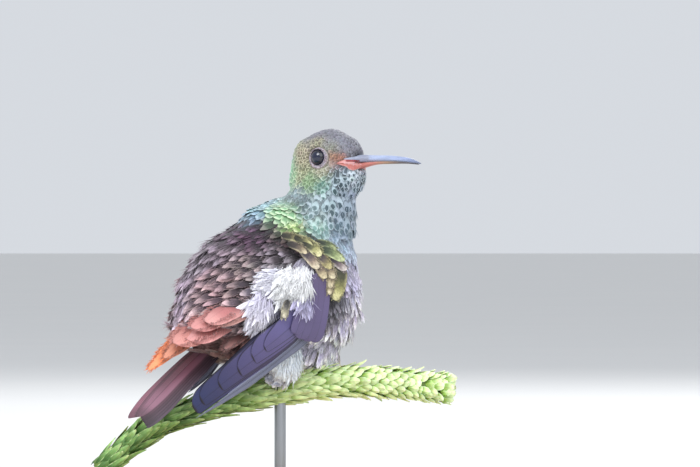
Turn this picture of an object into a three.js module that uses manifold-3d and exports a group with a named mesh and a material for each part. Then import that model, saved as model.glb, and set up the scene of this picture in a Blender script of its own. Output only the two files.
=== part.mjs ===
// A hummingbird with fluffed feathers, life size, perched along a cut flower
// spike that a plain display stand holds up. Millimetres, +Z up. The origin is
// the centre of the stand's underside.
//
// The bird looks towards +X. Its body turns a little towards +Y and its head
// turns back towards -Y. Body sizes are given in the body's own frame: u runs
// forward, v to the bird's left, z up. Head sizes are given in the head's.

import * as THREE from 'three';
import { mergeVertices } from 'three/addons/utils/BufferGeometryUtils.js';
import Module from 'manifold-3d';

const wasm = await Module();
wasm.setup();

// ---- driving dimensions ----------------------------------------------------

// What every two touching pieces keep clear of each other.
const GAP = 0.3;

const BODY_YAW = THREE.MathUtils.degToRad(27);
const BODY_PLACE = new THREE.Vector3(-2, 0, 0);

const HEAD_YAW = THREE.MathUtils.degToRad(-38);
const HEAD_PLACE = new THREE.Vector3(11.9, 6, 0);
const CROWN_Z = 102.8;
const HEAD_BASE_Z = 83;
const EYE = { u: 2.6, v: 5.45, z: 95.2, width: 3.8, height: 4.3, depth: 2.6, turn: 0.1 };
const EYE_SUNK = 1.1;
const BILL = { baseU: 11.5, tipU: 34.3, baseZ: 93.5, tipZ: 93, arch: 1.15, lowerShort: 0.6 };
const BILL_HALF_WIDTH = [1.5, 0.4];

// Half the height of the upper and the lower bill, over the share of the length.
const UPPER_BILL = [[0, 1.1], [0.13, 1.05], [0.33, 0.85], [0.6, 0.75], [0.8, 0.62], [0.92, 0.42], [1, 0.2]];
const LOWER_BILL = [[0, 0.9], [0.13, 0.8], [0.33, 0.45], [0.6, 0.36], [0.8, 0.27], [1, 0.25]];

const TRUNK_TOP_Z = 84.5;
const TRUNK_BASE_Z = 36;
const NECK_TOP_Z = 93;
const NECK_BASE_Z = 70;
const FEATHER_STEP = 0.9;

// Where the head, the neck and the trunk part: a point on the cut, and its slope.
const HEAD_CUT = { x: 12, z: 86.6, slope: 0 };
const NECK_CUT = { x: 5.5, z: 76.2, slope: THREE.MathUtils.degToRad(17) };

// The body at a few heights: how far back and forward it reaches, and its half width.
const TRUNK = [
  { z: 78, back: -9.5, front: 23.2, side: 11 },
  { z: 73.5, back: -16.6, front: 24.4, side: 14.5 },
  { z: 67, back: -23, front: 25, side: 17 },
  { z: 60, back: -27, front: 26, side: 18.3 },
  { z: 54, back: -28.4, front: 26, side: 18.5 },
  { z: 49, back: -29.6, front: 24.7, side: 17.4 },
  { z: 43.5, back: -24.5, front: 22, side: 13 },
];

// The neck at a few heights, in the world's x, with the cape flaring over the mantle.
const NECK = [
  { z: 90, back: 4.5, front: 20.5, side: 7.8 },
  { z: 86.4, back: 2.3, front: 21.9, side: 8.8 },
  { z: 83, back: -0.6, front: 21.6, side: 10 },
  { z: 80, back: -7.6, front: 21.4, side: 12 },
  { z: 78, back: -9.4, front: 21.4, side: 13 },
  { z: 74, back: -9, front: 21.3, side: 13 },
];
const NECK_CENTRE_Y = 5;

// The head at a few heights, in its own frame.
const HEAD = [
  { z: 96.8, back: -9.8, front: 13.3, side: 6.7 },
  { z: 93.5, back: -10.4, front: 13.7, side: 6.9 },
  { z: 90.5, back: -11, front: 14.3, side: 7.1 },
  { z: 86.5, back: -11.4, front: 12.2, side: 7.6 },
];

const PERCH = {
  line: [[-51.5, 7.4], [-36, 19.7], [-22, 25.3], [-9.7, 28.6], [8.3, 32], [23.6, 33], [48.9, 30.6]],
  radius: [[0, 3.6], [0.3, 4], [0.55, 4.8], [0.9, 4.9], [1, 4.5]],
  rows: 13,
  bractStep: 0.9,
};

const STAND = { radius: 42, height: 5, chamfer: 0.8, rodRadius: 1.6, rodTop: 29.2, rodFoot: 2 };

// ---- colours ---------------------------------------------------------------

const finish = (color, roughness, metalness = 0) =>
  new THREE.MeshStandardMaterial({ color, roughness, metalness });

const BRONZE_HEAD = finish(0x8f9278, 0.6);
const TURQUOISE = finish(0x9dbfb4, 0.6);
const MAUVE_BROWN = finish(0x7a6670, 0.75);
const GOLDEN_GREEN = finish(0xa8ac62, 0.55);
const VIOLET_SLATE = finish(0x6d6888, 0.55);
const BLUE_SLATE = finish(0x53567f, 0.5);
const SALMON = finish(0xc98a86, 0.65);
const MAROON = finish(0x7d5765, 0.6);
const DOWN_WHITE = finish(0xe6e9f2, 0.9);
const EYE_BLACK = finish(0x0b0c12, 0.08);
const BILL_GREY = finish(0x6c6a75, 0.4);
const BILL_CORAL = finish(0xc4655a, 0.4);
const FOOT_DARK = finish(0x4a4044, 0.6);
const SPIKE_GREEN = finish(0xa9cf6c, 0.55);
const STAND_WOOD = finish(0xc9b28f, 0.5);
const STAND_STEEL = finish(0xb9bcc0, 0.3, 0.9);

// ---- helpers ---------------------------------------------------------------

const lerp = THREE.MathUtils.lerp;

// A smooth curve of one number over another, through a short list of knots.
function smooth(knots, at) {
  const points = knots.map(([x, y]) => new THREE.Vector2(x, y));
  const first = points[0];
  const last = points[points.length - 1];
  if (at <= first.x) return first.y;
  if (at >= last.x) return last.y;
  const next = points.findIndex((point) => point.x > at);
  const slope = (index) => {
    const before = points[Math.max(index - 1, 0)];
    const after = points[Math.min(index + 1, points.length - 1)];
    return (after.y - before.y) / (after.x - before.x);
  };
  const a = points[next - 1];
  const b = points[next];
  const span = b.x - a.x;
  const t = (at - a.x) / span;
  const rise = (1 + 2 * t) * (1 - t) ** 2 * a.y + t * t * (3 - 2 * t) * b.y;
  const lean = t * (1 - t) ** 2 * slope(next - 1) - t * t * (1 - t) * slope(next);
  return rise + span * lean;
}

// A closed body from a sphere's net: place(angle, ring) gives each point. The
// first and the last ring are the two end points.
function closedNet(segments, rings, place) {
  const net = new THREE.SphereGeometry(1, segments, rings);
  const position = net.attributes.position;
  for (let ring = 0; ring <= rings; ring += 1) {
    for (let step = 0; step <= segments; step += 1) {
      const angle = (2 * Math.PI * (step % segments)) / segments;
      const point = place(angle, ring);
      position.setXYZ(ring * (segments + 1) + step, point.x, point.y, point.z);
    }
  }
  net.deleteAttribute('normal');
  net.deleteAttribute('uv');
  return mergeVertices(net);
}

function solidOf(geometry) {
  const plain = geometry.clone();
  plain.deleteAttribute('normal');
  plain.deleteAttribute('uv');
  const merged = mergeVertices(plain);
  return new wasm.Manifold(new wasm.Mesh({
    numProp: 3,
    vertProperties: Float32Array.from(merged.attributes.position.array),
    triVerts: Uint32Array.from(merged.index.array),
  }));
}

function geometryOf(solid) {
  const mesh = solid.getMesh();
  const geometry = new THREE.BufferGeometry();
  geometry.setAttribute('position', new THREE.BufferAttribute(mesh.vertProperties, 3));
  geometry.setIndex(new THREE.BufferAttribute(mesh.triVerts, 1));
  return geometry;
}

// Drops the crumbs that a cut leaves, and keeps the main body.
function mainBody(solid) {
  const bodies = solid.decompose();
  return bodies.reduce((best, body) => (body.volume() > best.volume() ? body : best));
}

const union = (solids) => solids.reduce((whole, solid) => whole.add(solid));

// Mirrors a geometry of the body's frame to the bird's other side.
function mirrored(geometry) {
  const copy = geometry.clone();
  copy.scale(1, -1, 1);
  const index = copy.index;
  for (let corner = 0; corner < index.count; corner += 3) {
    const second = index.getX(corner + 1);
    index.setX(corner + 1, index.getX(corner + 2));
    index.setX(corner + 2, second);
  }
  return copy;
}

// A frame is a turn about the vertical and a place.
function frameAt(yaw, place) {
  const frame = new THREE.Group();
  frame.rotation.z = yaw;
  frame.position.copy(place);
  frame.updateMatrixWorld(true);
  return frame;
}

const bodyFrame = frameAt(BODY_YAW, BODY_PLACE);
const headFrame = frameAt(HEAD_YAW, HEAD_PLACE);
const inWorld = (geometry, frame) => geometry.clone().applyMatrix4(frame.matrixWorld);

// ---- flesh: a stack of level sections with rows of feather tips ------------

function sectionAt(stations, z) {
  const knots = (key) => stations.map((station) => [station.z, station[key]]).reverse();
  return {
    back: smooth(knots('back'), z),
    front: smooth(knots('front'), z),
    side: smooth(knots('side'), z),
  };
}

// A body of oval level sections between its base and its top. Each row of
// feathers swells down to its tips and then steps back in; tips and notches
// alternate round the body and from row to row.
function stackedBody(form) {
  const { stations, top, base, rows, segments, step, bluntness = 2, centreV = 0, grow = 0 } = form;
  const ringsPerRow = 3;
  const rings = rows * ringsPerRow + 1;
  const highest = stations[0].z;
  const lowest = stations[stations.length - 1].z;
  const rowHeight = (top - base) / rows;
  const roundOff = (z) => {
    const above = Math.max(0, (z - highest) / (top - highest));
    const below = Math.max(0, (lowest - z) / (lowest - base));
    return Math.max(0, 1 - Math.max(above, below) ** bluntness) ** (1 / bluntness);
  };
  const place = (angle, ring) => {
    const row = Math.floor((ring - 1) / ringsPerRow);
    const part = (ring - 1) % ringsPerRow;
    const isEnd = ring === 0 || ring === rings;
    const share = isEnd ? 0 : [0.06, 0.55, 0.97][part];
    const level = isEnd ? (ring === 0 ? 0 : rows) : row + share;
    const along = 0.5 - 0.5 * Math.cos((Math.PI * level) / rows);
    const tip = Math.cos((segments / 2) * angle + Math.PI * row) * step * 0.5;
    const isTipRing = part === 2 && !isEnd;
    const z = lerp(top + grow, base - grow, lerp(level / rows, along, 0.35));
    const section = sectionAt(stations, z);
    const swell = isEnd ? 0 : step * (share - 0.5) + (isTipRing ? tip * 0.5 : 0);
    const middle = (section.front + section.back) / 2;
    const reach = (section.front - section.back) / 2 + swell + grow;
    const width = section.side + swell + grow;
    const scale = isEnd ? 0 : roundOff(z);
    const droop = isTipRing ? Math.min(rowHeight * 0.2, Math.max(0, tip) * 2) * scale : 0;
    return new THREE.Vector3(
      middle + reach * scale * Math.cos(angle),
      centreV + width * scale * Math.sin(angle),
      z - droop,
    );
  };
  return closedNet(segments, rings, place);
}

const trunkShape = (grow) => inWorld(stackedBody({
  stations: TRUNK,
  top: TRUNK_TOP_Z,
  base: TRUNK_BASE_Z,
  rows: 8,
  segments: 24,
  step: FEATHER_STEP,
  bluntness: 2.2,
  grow,
}), bodyFrame);

const neckShape = () => stackedBody({
  stations: NECK,
  top: NECK_TOP_Z,
  base: NECK_BASE_Z,
  rows: 4,
  segments: 20,
  step: FEATHER_STEP * 0.6,
  centreV: NECK_CENTRE_Y,
});

const headShape = () => inWorld(stackedBody({
  stations: HEAD,
  top: CROWN_Z,
  base: HEAD_BASE_Z,
  rows: 3,
  segments: 20,
  step: FEATHER_STEP * 0.25,
}), headFrame);

// Everything above, or below, a sloping cut across the body.
function halfSpace({ x, z, slope }, isAbove) {
  const size = 300;
  const block = new THREE.BoxGeometry(size, size, size);
  const lift = (size / 2 + GAP / 2) * (isAbove ? 1 : -1);
  block.translate(0, 0, lift);
  block.rotateY(slope);
  block.translate(x, 0, z);
  return solidOf(block);
}

// ---- tubes: bill, toes and perch ------------------------------------------

// A closed tube along a curve in a plane whose side direction is given.
// shape(angle, along) gives the reach from the centre line, which lift(along)
// may raise off the curve; ends says where each ring sits along the curve.
function tubeBody({ curve, side, segments, ends, shape, lift = () => 0 }) {
  const rings = ends.length - 1;
  return closedNet(segments, rings, (angle, ring) => {
    const along = ends[ring];
    const ahead = curve.getTangentAt(along);
    const across = side.clone().addScaledVector(ahead, -side.dot(ahead)).normalize();
    const up = new THREE.Vector3().crossVectors(ahead, across).normalize();
    const centre = curve.getPointAt(along).addScaledVector(up, lift(along));
    if (ring === 0 || ring === rings) return centre;
    const reach = shape(angle, along, ring);
    return centre
      .addScaledVector(up, reach * Math.cos(angle))
      .addScaledVector(across, reach * Math.sin(angle));
  });
}

// The reach of an oval with the given half height and half width.
const oval = (high, wide, angle) =>
  (high * wide) / Math.hypot(wide * Math.cos(angle), high * Math.sin(angle));

const evenly = (count, from, to) =>
  Array.from({ length: count + 1 }, (_, index) => lerp(from, to, index / count));

// ---- bill ------------------------------------------------------------------

const LEFTWARD = new THREE.Vector3(0, 1, 0);

// Each half is an oval that lies against the line where the bill closes.
function billHalf({ isUpper, grow = 0 }) {
  const side = isUpper ? 1 : -1;
  const tipU = BILL.tipU - (isUpper ? 0 : BILL.lowerShort);
  const closing = new THREE.QuadraticBezierCurve3(
    new THREE.Vector3(BILL.baseU, 0, BILL.baseZ),
    new THREE.Vector3(lerp(BILL.baseU, tipU, 0.6), 0, BILL.baseZ + BILL.arch),
    new THREE.Vector3(tipU, 0, BILL.tipZ),
  );
  const halfHeight = (along) => smooth(isUpper ? UPPER_BILL : LOWER_BILL, along);
  return tubeBody({
    curve: closing,
    side: LEFTWARD,
    segments: 10,
    ends: [0, ...evenly(6, 0.001, 0.94), 1],
    lift: (along) => side * (halfHeight(along) + GAP / 2),
    shape: (angle, along) => {
      const wide = lerp(...BILL_HALF_WIDTH, along ** 0.6);
      return oval(halfHeight(along) + grow, wide + grow, angle);
    },
  });
}

// ---- eyes ------------------------------------------------------------------

function eyeBall(side, grow) {
  const ball = new THREE.SphereGeometry(1, 12, 8);
  ball.scale(EYE.width / 2 + grow, EYE.depth + grow, EYE.height / 2 + grow);
  ball.rotateZ(-side * EYE.turn);
  ball.translate(EYE.u, side * (EYE.v - EYE_SUNK), EYE.z);
  return ball;
}

// ---- feathers that have a node --------------------------------------------

// A long flat vane: a rounded blade along a curve, facing the given way.
function vane({ points, width, thickness, facing, rootWidth = 0.5, sides = 6, grow = 0 }) {
  const curve = new THREE.CatmullRomCurve3(points);
  const rings = 6;
  return closedNet(sides, rings, (angle, ring) => {
    const along = (1 - Math.cos((Math.PI * ring) / rings)) / 2;
    const centre = curve.getPointAt(along);
    if (ring === 0 || ring === rings) return centre;
    const ahead = curve.getTangentAt(along);
    const out = facing.clone().addScaledVector(ahead, -facing.dot(ahead)).normalize();
    const across = new THREE.Vector3().crossVectors(out, ahead);
    const spread = lerp(rootWidth, 1, Math.min(1, along * 3));
    const round = Math.sqrt(1 - Math.max(0, (along - 0.75) / 0.25) ** 2);
    return centre
      .addScaledVector(across, ((width / 2) * spread * round + grow) * Math.cos(angle))
      .addScaledVector(out, -(thickness / 2 + grow) * Math.sin(angle));
  });
}

// The wing lies along the flank. Its leading edge runs from the wrist to the
// tip, and the wing's distance from the body's middle follows its height.
const WING_EDGE = [
  [14.1, 69], [13.1, 60], [9.4, 52], [3.9, 44.5], [-2.9, 38.5], [-13.7, 31.5], [-27.4, 23.2],
];
const RIGHT_SIDE = [[24, 8], [33, 11.2], [41, 15.4], [48, 18.6], [55, 19.5], [62, 18.9], [69, 16.2]];
const LEFT_SIDE = [[24, 2.2], [30, 7], [37, 14], [43, 17.4], [50, 19.2], [62, 18.9], [69, 16.2]];
const wingEdge = new THREE.CatmullRomCurve3(WING_EDGE.map(([u, z]) => new THREE.Vector3(u, 0, z)));
const FACING_OUT = new THREE.Vector3(0, -1, 0);

// The left wing is folded higher than the right one, clear of the perch.
const LEFT_WING_LIFT = 0.08;

function leftWing(feather) {
  const copy = mirrored(feather);
  const [wristU, wristZ] = WING_EDGE[0];
  copy.translate(-wristU, 0, -wristZ);
  copy.rotateY(LEFT_WING_LIFT);
  copy.translate(wristU, 0, wristZ);
  return copy;
}

// One long wing feather: it runs inset from the leading edge between two
// shares of the edge's length, in a layer further out than the one below it.
function wingFeather({ profile, grow, inset, from, to, layer, width }) {
  const points = evenly(4, from, to).map((share) => {
    const point = wingEdge.getPointAt(share);
    const ahead = wingEdge.getTangentAt(share);
    point.y = -smooth(profile, point.z) - layer;
    point.x += ahead.z * inset;
    point.z -= ahead.x * inset;
    return point;
  });
  return vane({ points, width, thickness: VANE_THICKNESS, facing: FACING_OUT, sides: 4, grow });
}

// Each feather lies a little further out than the one below it, and each of
// the wing's three rows of feathers further out again.
const LAYER = 0.2;
const PRIMARIES = 5;
const SECONDARIES = 3;
const SECONDARY_LAYER = 1.8;
const COVERT_LAYER = 2.7;
const VANE_THICKNESS = 0.75;

function primaries(profile, grow) {
  return Array.from({ length: PRIMARIES }, (_, index) => wingFeather({
    profile,
    grow,
    inset: 1.9 + 1.8 * index,
    from: 0.23,
    to: 1 - 0.03 * index - 0.016 * index * index,
    layer: LAYER * index,
    width: 5.6,
  }));
}

function secondaries(profile, grow) {
  return Array.from({ length: SECONDARIES }, (_, index) => wingFeather({
    profile,
    grow,
    inset: 4.6 + 2.4 * index,
    from: 0.17,
    to: 0.53 - 0.05 * index,
    layer: SECONDARY_LAYER + LAYER * index,
    width: 7.5,
  }));
}

// Wing coverts: a rounded pad of short rows over the shoulder, ending in one
// longer feather at the wrist.
function coverts(profile, grow) {
  return [
    { inset: 2.8, from: 0.01, to: 0.3, layer: COVERT_LAYER + LAYER, width: 6 },
    { inset: 8, from: 0.01, to: 0.17, layer: COVERT_LAYER + LAYER / 2, width: 9 },
    { inset: 13, from: 0, to: 0.13, layer: COVERT_LAYER, width: 9 },
  ].map((place) => wingFeather({ profile, grow, ...place }));
}

// The tail: its feathers overlap from the middle pair outwards, and the whole
// fan rolls a little about its length.
const TAIL = { rootU: -15, rootZ: 47, tipU: -41.6, tipZ: 23, roll: -0.42, pairs: 3 };
const TAIL_FAN = { tipSpread: 1.3, rootSpread: 0.8, drop: 0.4, shorter: 0.35, width: 6.5 };

function tailFeathers() {
  const root = new THREE.Vector3(TAIL.rootU, 0, TAIL.rootZ);
  const tip = new THREE.Vector3(TAIL.tipU, 0, TAIL.tipZ);
  const axis = tip.clone().sub(root).normalize();
  const level = new THREE.Vector3(0, 1, 0).applyAxisAngle(axis, TAIL.roll);
  const upward = new THREE.Vector3().crossVectors(level, axis).normalize();
  const feathers = [];
  for (let index = -TAIL.pairs; index <= TAIL.pairs; index += 1) {
    const rank = Math.abs(index);
    const end = tip.clone()
      .addScaledVector(level, TAIL_FAN.tipSpread * index)
      .addScaledVector(upward, -TAIL_FAN.drop * rank)
      .addScaledVector(axis, TAIL_FAN.shorter * (rank - TAIL.pairs));
    const start = root.clone()
      .addScaledVector(level, TAIL_FAN.rootSpread * index)
      .addScaledVector(upward, -TAIL_FAN.drop * rank);
    const middle = start.clone().lerp(end, 0.5).addScaledVector(upward, 0.6);
    const points = [start, middle, end];
    feathers.push(vane({
      points,
      width: TAIL_FAN.width,
      thickness: 0.9,
      facing: upward,
      sides: 4,
    }));
  }
  return feathers;
}

// Upper tail coverts: soft rounded feathers fanned over the tail's root.
function tailCoverts(grow) {
  const facing = new THREE.Vector3(-0.5, -0.45, 0.75).normalize();
  const feathers = [
    { root: [-20, 1.5, 50], tip: [-39.2, -3, 36.6], width: 7.5 },
    { root: [-17, -1, 49], tip: [-33.5, -4, 37.5], width: 9.5 },
    { root: [-15, -4, 48], tip: [-27.5, -7.5, 39], width: 9.5 },
    { root: [-12, -7, 48], tip: [-21.5, -11, 40.5], width: 8.5 },
  ];
  return feathers.map(({ root, tip, width }, index) => {
    const rise = facing.clone().multiplyScalar(0.45 * index);
    const start = new THREE.Vector3(...root).add(rise);
    const end = new THREE.Vector3(...tip).add(rise);
    const middle = start.clone().lerp(end, 0.5).addScaledVector(facing, 0.8);
    const points = [start, middle, end];
    return vane({ points, width, thickness: 1.2, facing, rootWidth: 0.8, grow });
  });
}

// ---- perch -----------------------------------------------------------------

const perchPoints = PERCH.line.map(([x, z]) => new THREE.Vector3(x, 0, z));
const perchLine = new THREE.CatmullRomCurve3(perchPoints);
const perchRadius = (along) => smooth(PERCH.radius, along);

// Overlapping bracts in rings, each swelling towards its tip and then stepping in.
function perchShape(grow) {
  const ends = [0];
  const rowStart = (row) => row / PERCH.rows;
  for (let row = 0; row < PERCH.rows; row += 1) {
    for (const share of [0.04, 0.6, 0.96]) {
      ends.push(rowStart(row) + (share * 0.985) / PERCH.rows);
    }
  }
  ends[1] = 0;
  ends.push(1);
  return tubeBody({
    curve: perchLine,
    side: LEFTWARD,
    segments: 10,
    ends,
    shape: (angle, along, ring) => {
      const row = Math.floor((ring - 1) / 3);
      const part = (ring - 1) % 3;
      const swell = PERCH.bractStep * [-0.55, 0.05, 0.4][part];
      const tip = part === 2 ? 0.3 * PERCH.bractStep * Math.cos(5 * angle + Math.PI * row) : 0;
      const blunt = Math.sqrt(1 - Math.max(0, (along - 0.955) / 0.047) ** 2);
      return (perchRadius(along) + swell + tip) * blunt + grow;
    },
  });
}

// ---- feet ------------------------------------------------------------------

const TOE_RADIUS = 0.55;
const CLAW_RADIUS = 0.25;
const TARSUS_RADIUS = 0.6;
const TOE_CLEARANCE = 0.1;

// A point on the perch: its share of the length, its turn from the top
// towards +Y, and its height off the bracts.
function onPerch(share, turn, height) {
  const centre = perchLine.getPointAt(share);
  const ahead = perchLine.getTangentAt(share);
  const up = new THREE.Vector3().crossVectors(ahead, LEFTWARD).normalize();
  const reach = perchRadius(share) + PERCH.bractStep * 0.7 + GAP + height;
  return centre
    .addScaledVector(up, reach * Math.cos(turn))
    .addScaledVector(LEFTWARD, reach * Math.sin(turn));
}

// A toe that curls round the perch and thins into its claw.
function toe({ share, turn, reach, spread, grow }) {
  const points = evenly(4, 0, 1).map((along) => {
    const height = lerp(TOE_RADIUS + TOE_CLEARANCE, CLAW_RADIUS, along ** 2);
    return onPerch(share + spread * along, turn + reach * along, height);
  });
  return tubeBody({
    curve: new THREE.CatmullRomCurve3(points),
    side: new THREE.Vector3(1, 0, 0),
    segments: 5,
    ends: [0, ...evenly(4, 0.001, 0.92), 1],
    shape: (angle, along) => lerp(TOE_RADIUS, CLAW_RADIUS, along ** 2) + grow,
  });
}

function foot({ share, turn, ankle, grow = 0 }) {
  const sole = onPerch(share, turn, TOE_RADIUS + TOE_CLEARANCE);
  const tarsus = tubeBody({
    curve: new THREE.LineCurve3(ankle, sole),
    side: new THREE.Vector3(1, 0, 0),
    segments: 6,
    ends: [0, 0.001, 0.999, 1],
    shape: () => TARSUS_RADIUS + grow,
  });
  const forward = [-0.008, 0.022, 0.05].map((spread) =>
    toe({ share, turn, reach: 1.35, spread, grow }));
  const hind = toe({ share, turn, reach: -1.25, spread: -0.012, grow });
  return union([tarsus, ...forward, hind].map(solidOf));
}

const FEET = {
  right: { share: 0.545, turn: -0.35, ankle: new THREE.Vector3(1.2, -5.2, 39.5) },
  left: { share: 0.475, turn: 0.4, ankle: new THREE.Vector3(-4.8, 4.4, 38) },
};

// The downy leg tuft on each side: a drop that hangs beside the perch.
function legTuft({ x, y, z, wide, deep, high, grow = 0 }) {
  const rings = 6;
  return closedNet(12, rings, (angle, ring) => {
    const theta = (Math.PI * ring) / rings;
    const ragged = ring % 2 === 1 ? 0.5 * Math.cos(6 * angle) : 0;
    const out = Math.sin(theta);
    return new THREE.Vector3(
      x + (wide + ragged + grow) * out * Math.cos(angle),
      y + (deep + grow) * out * Math.sin(angle),
      z + (high + grow) * Math.cos(theta),
    );
  });
}

const TUFTS = {
  right: { x: 0.4, y: -8.6, z: 37.9, wide: 5, deep: 3.4, high: 6.2 },
  left: { x: -7, y: 8.6, z: 38, wide: 4.6, deep: 3.2, high: 5.8 },
};

// ---- stand -----------------------------------------------------------------

function standBase() {
  const { radius, height, chamfer } = STAND;
  const profile = [
    new THREE.Vector2(0, 0),
    new THREE.Vector2(radius - chamfer / 2, 0),
    new THREE.Vector2(radius, chamfer / 2),
    new THREE.Vector2(radius, height - chamfer),
    new THREE.Vector2(radius - chamfer, height),
    new THREE.Vector2(0, height),
  ];
  const base = new THREE.LatheGeometry(profile, 32);
  base.rotateX(Math.PI / 2);
  return base;
}

function standRod(grow) {
  const length = STAND.rodTop - STAND.rodFoot + 2 * grow;
  const rod = new THREE.CylinderGeometry(STAND.rodRadius + grow, STAND.rodRadius + grow, length, 14);
  rod.rotateX(Math.PI / 2);
  rod.translate(0, 0, (STAND.rodTop + STAND.rodFoot) / 2);
  return rod;
}

// ---- the bird and its stand, cut clear of each other ------------------------

const world = (geometry, frame) => solidOf(inWorld(geometry, frame));
const SIDES = { right: -1, left: 1 };

const perch = solidOf(perchShape(0)).subtract(solidOf(standRod(GAP)));
const perchClear = solidOf(perchShape(GAP));

const wholeBody = union([trunkShape(0), neckShape(), headShape()].map(solidOf));
const sockets = Object.values(SIDES).map((side) => world(eyeBall(side, GAP), headFrame));
const billClear = union([true, false].map((isUpper) =>
  world(billHalf({ isUpper, grow: GAP }), headFrame)));
const feetClear = union(Object.values(FEET).map((data) => foot({ ...data, grow: GAP })));

const head = wholeBody.intersect(halfSpace(HEAD_CUT, true))
  .subtract(union(sockets))
  .subtract(billClear);
const neck = wholeBody.intersect(halfSpace(HEAD_CUT, false)).intersect(halfSpace(NECK_CUT, true));
const trunk = wholeBody.intersect(halfSpace(NECK_CUT, false))
  .subtract(perchClear)
  .subtract(feetClear);

// The flank with room for its feather steps, for what lies against it.
const fleshClear = solidOf(trunkShape(GAP + FEATHER_STEP / 2)).add(wholeBody);

const model = new THREE.Group();

function addPiece(name, solid, material) {
  const mesh = new THREE.Mesh(geometryOf(mainBody(solid)), material);
  mesh.name = name;
  model.add(mesh);
}

addPiece('head', head, BRONZE_HEAD);
addPiece('neck', neck, TURQUOISE);
addPiece('trunk', trunk, MAUVE_BROWN);

for (const isUpper of [true, false]) {
  const half = new THREE.Mesh(billHalf({ isUpper }), isUpper ? BILL_GREY : BILL_CORAL);
  half.name = isUpper ? 'bill_upper' : 'bill_lower';
  headFrame.add(half);
}

for (const [name, side] of Object.entries(SIDES)) {
  const eye = new THREE.Mesh(eyeBall(side, 0), EYE_BLACK);
  eye.name = `eye_${name}`;
  headFrame.add(eye);
}

const joined = (feathers) => union(feathers.map((feather) => world(feather, bodyFrame)));

// The tail and its coverts, which rest on it.
const tailCovertsClear = joined(tailCoverts(GAP));
addPiece('tail', joined(tailFeathers()).subtract(fleshClear).subtract(tailCovertsClear), MAROON);
addPiece('tail_coverts', joined(tailCoverts(0)).subtract(fleshClear), SALMON);

// Each wing in three layers, each clear of the flank and of the layers on it.
const wingsClear = [];
for (const [name, side] of Object.entries(SIDES)) {
  const profile = side < 0 ? RIGHT_SIDE : LEFT_SIDE;
  const layer = (feathers, grow) => joined(feathers(profile, grow)
    .map((feather) => (side < 0 ? feather : leftWing(feather))));
  const wingPieces = [
    ['coverts', coverts, GOLDEN_GREEN],
    ['secondaries', secondaries, VIOLET_SLATE],
    ['primaries', primaries, BLUE_SLATE],
  ];
  let taken = fleshClear.add(tailCovertsClear);
  for (const [part, feathers, material] of wingPieces) {
    addPiece(`wing_${name}_${part}`, layer(feathers, 0).subtract(taken), material);
    taken = taken.add(layer(feathers, GAP));
  }
  wingsClear.push(taken);
}

for (const name of Object.keys(SIDES)) {
  const tuft = solidOf(legTuft(TUFTS[name]))
    .subtract(fleshClear)
    .subtract(perchClear)
    .subtract(feetClear)
    .subtract(union(wingsClear));
  addPiece(`thigh_${name}`, tuft, DOWN_WHITE);
  addPiece(`foot_${name}`, foot(FEET[name]), FOOT_DARK);
}

addPiece('perch', perch, SPIKE_GREEN);
addPiece('stand_base', solidOf(standBase()).subtract(solidOf(standRod(GAP))), STAND_WOOD);

const rod = new THREE.Mesh(standRod(0), STAND_STEEL);
rod.name = 'stand_rod';
model.add(rod, headFrame);

export default model;
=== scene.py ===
"""The looks of a life-size hummingbird that perches on a cut flower spike, held by
a plain display stand. Sizes are in millimetres and go to metres as each mesh is made.

The body's frame is (u forward, v to the bird's left, z up), turned about the
vertical; the head has a frame of its own, turned the other way.
"""
import math

import bpy
import numpy as np
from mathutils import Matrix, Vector
from mathutils.bvhtree import BVHTree


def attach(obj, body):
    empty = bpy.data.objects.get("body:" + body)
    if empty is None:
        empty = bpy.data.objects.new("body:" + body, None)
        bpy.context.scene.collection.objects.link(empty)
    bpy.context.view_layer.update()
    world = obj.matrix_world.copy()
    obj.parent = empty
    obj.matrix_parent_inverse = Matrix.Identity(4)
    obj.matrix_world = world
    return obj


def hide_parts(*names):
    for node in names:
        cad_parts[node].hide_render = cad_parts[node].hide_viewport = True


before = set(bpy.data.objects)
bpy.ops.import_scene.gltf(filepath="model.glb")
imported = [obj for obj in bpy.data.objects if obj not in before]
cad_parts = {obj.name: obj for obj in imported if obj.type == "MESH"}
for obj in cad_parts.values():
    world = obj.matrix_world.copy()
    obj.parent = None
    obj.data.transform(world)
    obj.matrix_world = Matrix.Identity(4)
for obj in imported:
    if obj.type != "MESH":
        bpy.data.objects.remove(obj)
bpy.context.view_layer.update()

MM = 0.001
RIGHT, LEFT = -1, 1
SIDES = {"right": RIGHT, "left": LEFT}
rng = np.random.default_rng(11)

# ---- small helpers ----------------------------------------------------------


def tone(code):
    """The linear colour of a hex code."""
    parts = np.array([int(code[i:i + 2], 16) for i in (0, 2, 4)]) / 255
    return np.where(parts <= 0.04045, parts / 12.92, ((parts + 0.055) / 1.055) ** 2.4)


def unit(vectors):
    return vectors / np.maximum(np.linalg.norm(vectors, axis=-1, keepdims=True), 1e-9)


def dot(a, b):
    return np.sum(a * b, axis=-1, keepdims=True)


def mix(a, b, share):
    return a + (b - a) * share


def step_between(low, high, value):
    share = np.clip((value - low) / (high - low), 0, 1)
    return share * share * (3 - 2 * share)


def table_at(table, value):
    return np.interp(value, *zip(*table))


def read_at(where, places, table):
    """The rows of a table at some places between its own."""
    return np.stack([np.interp(where, places, column) for column in np.transpose(table)], axis=-1)


class Turned:
    """A frame turned about the vertical and moved along the floor."""

    def __init__(self, degrees, x, y):
        turn = math.radians(degrees)
        self.axes = np.array([
            [math.cos(turn), math.sin(turn), 0],
            [-math.sin(turn), math.cos(turn), 0],
            [0, 0, 1],
        ])
        self.place = np.array([x, y, 0.0])

    def out(self, points):
        return np.asarray(points, float) @ self.axes + self.place

    def turn(self, vectors):
        return np.asarray(vectors, float) @ self.axes

    def into(self, points):
        return (np.asarray(points, float) - self.place) @ self.axes.T


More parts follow.
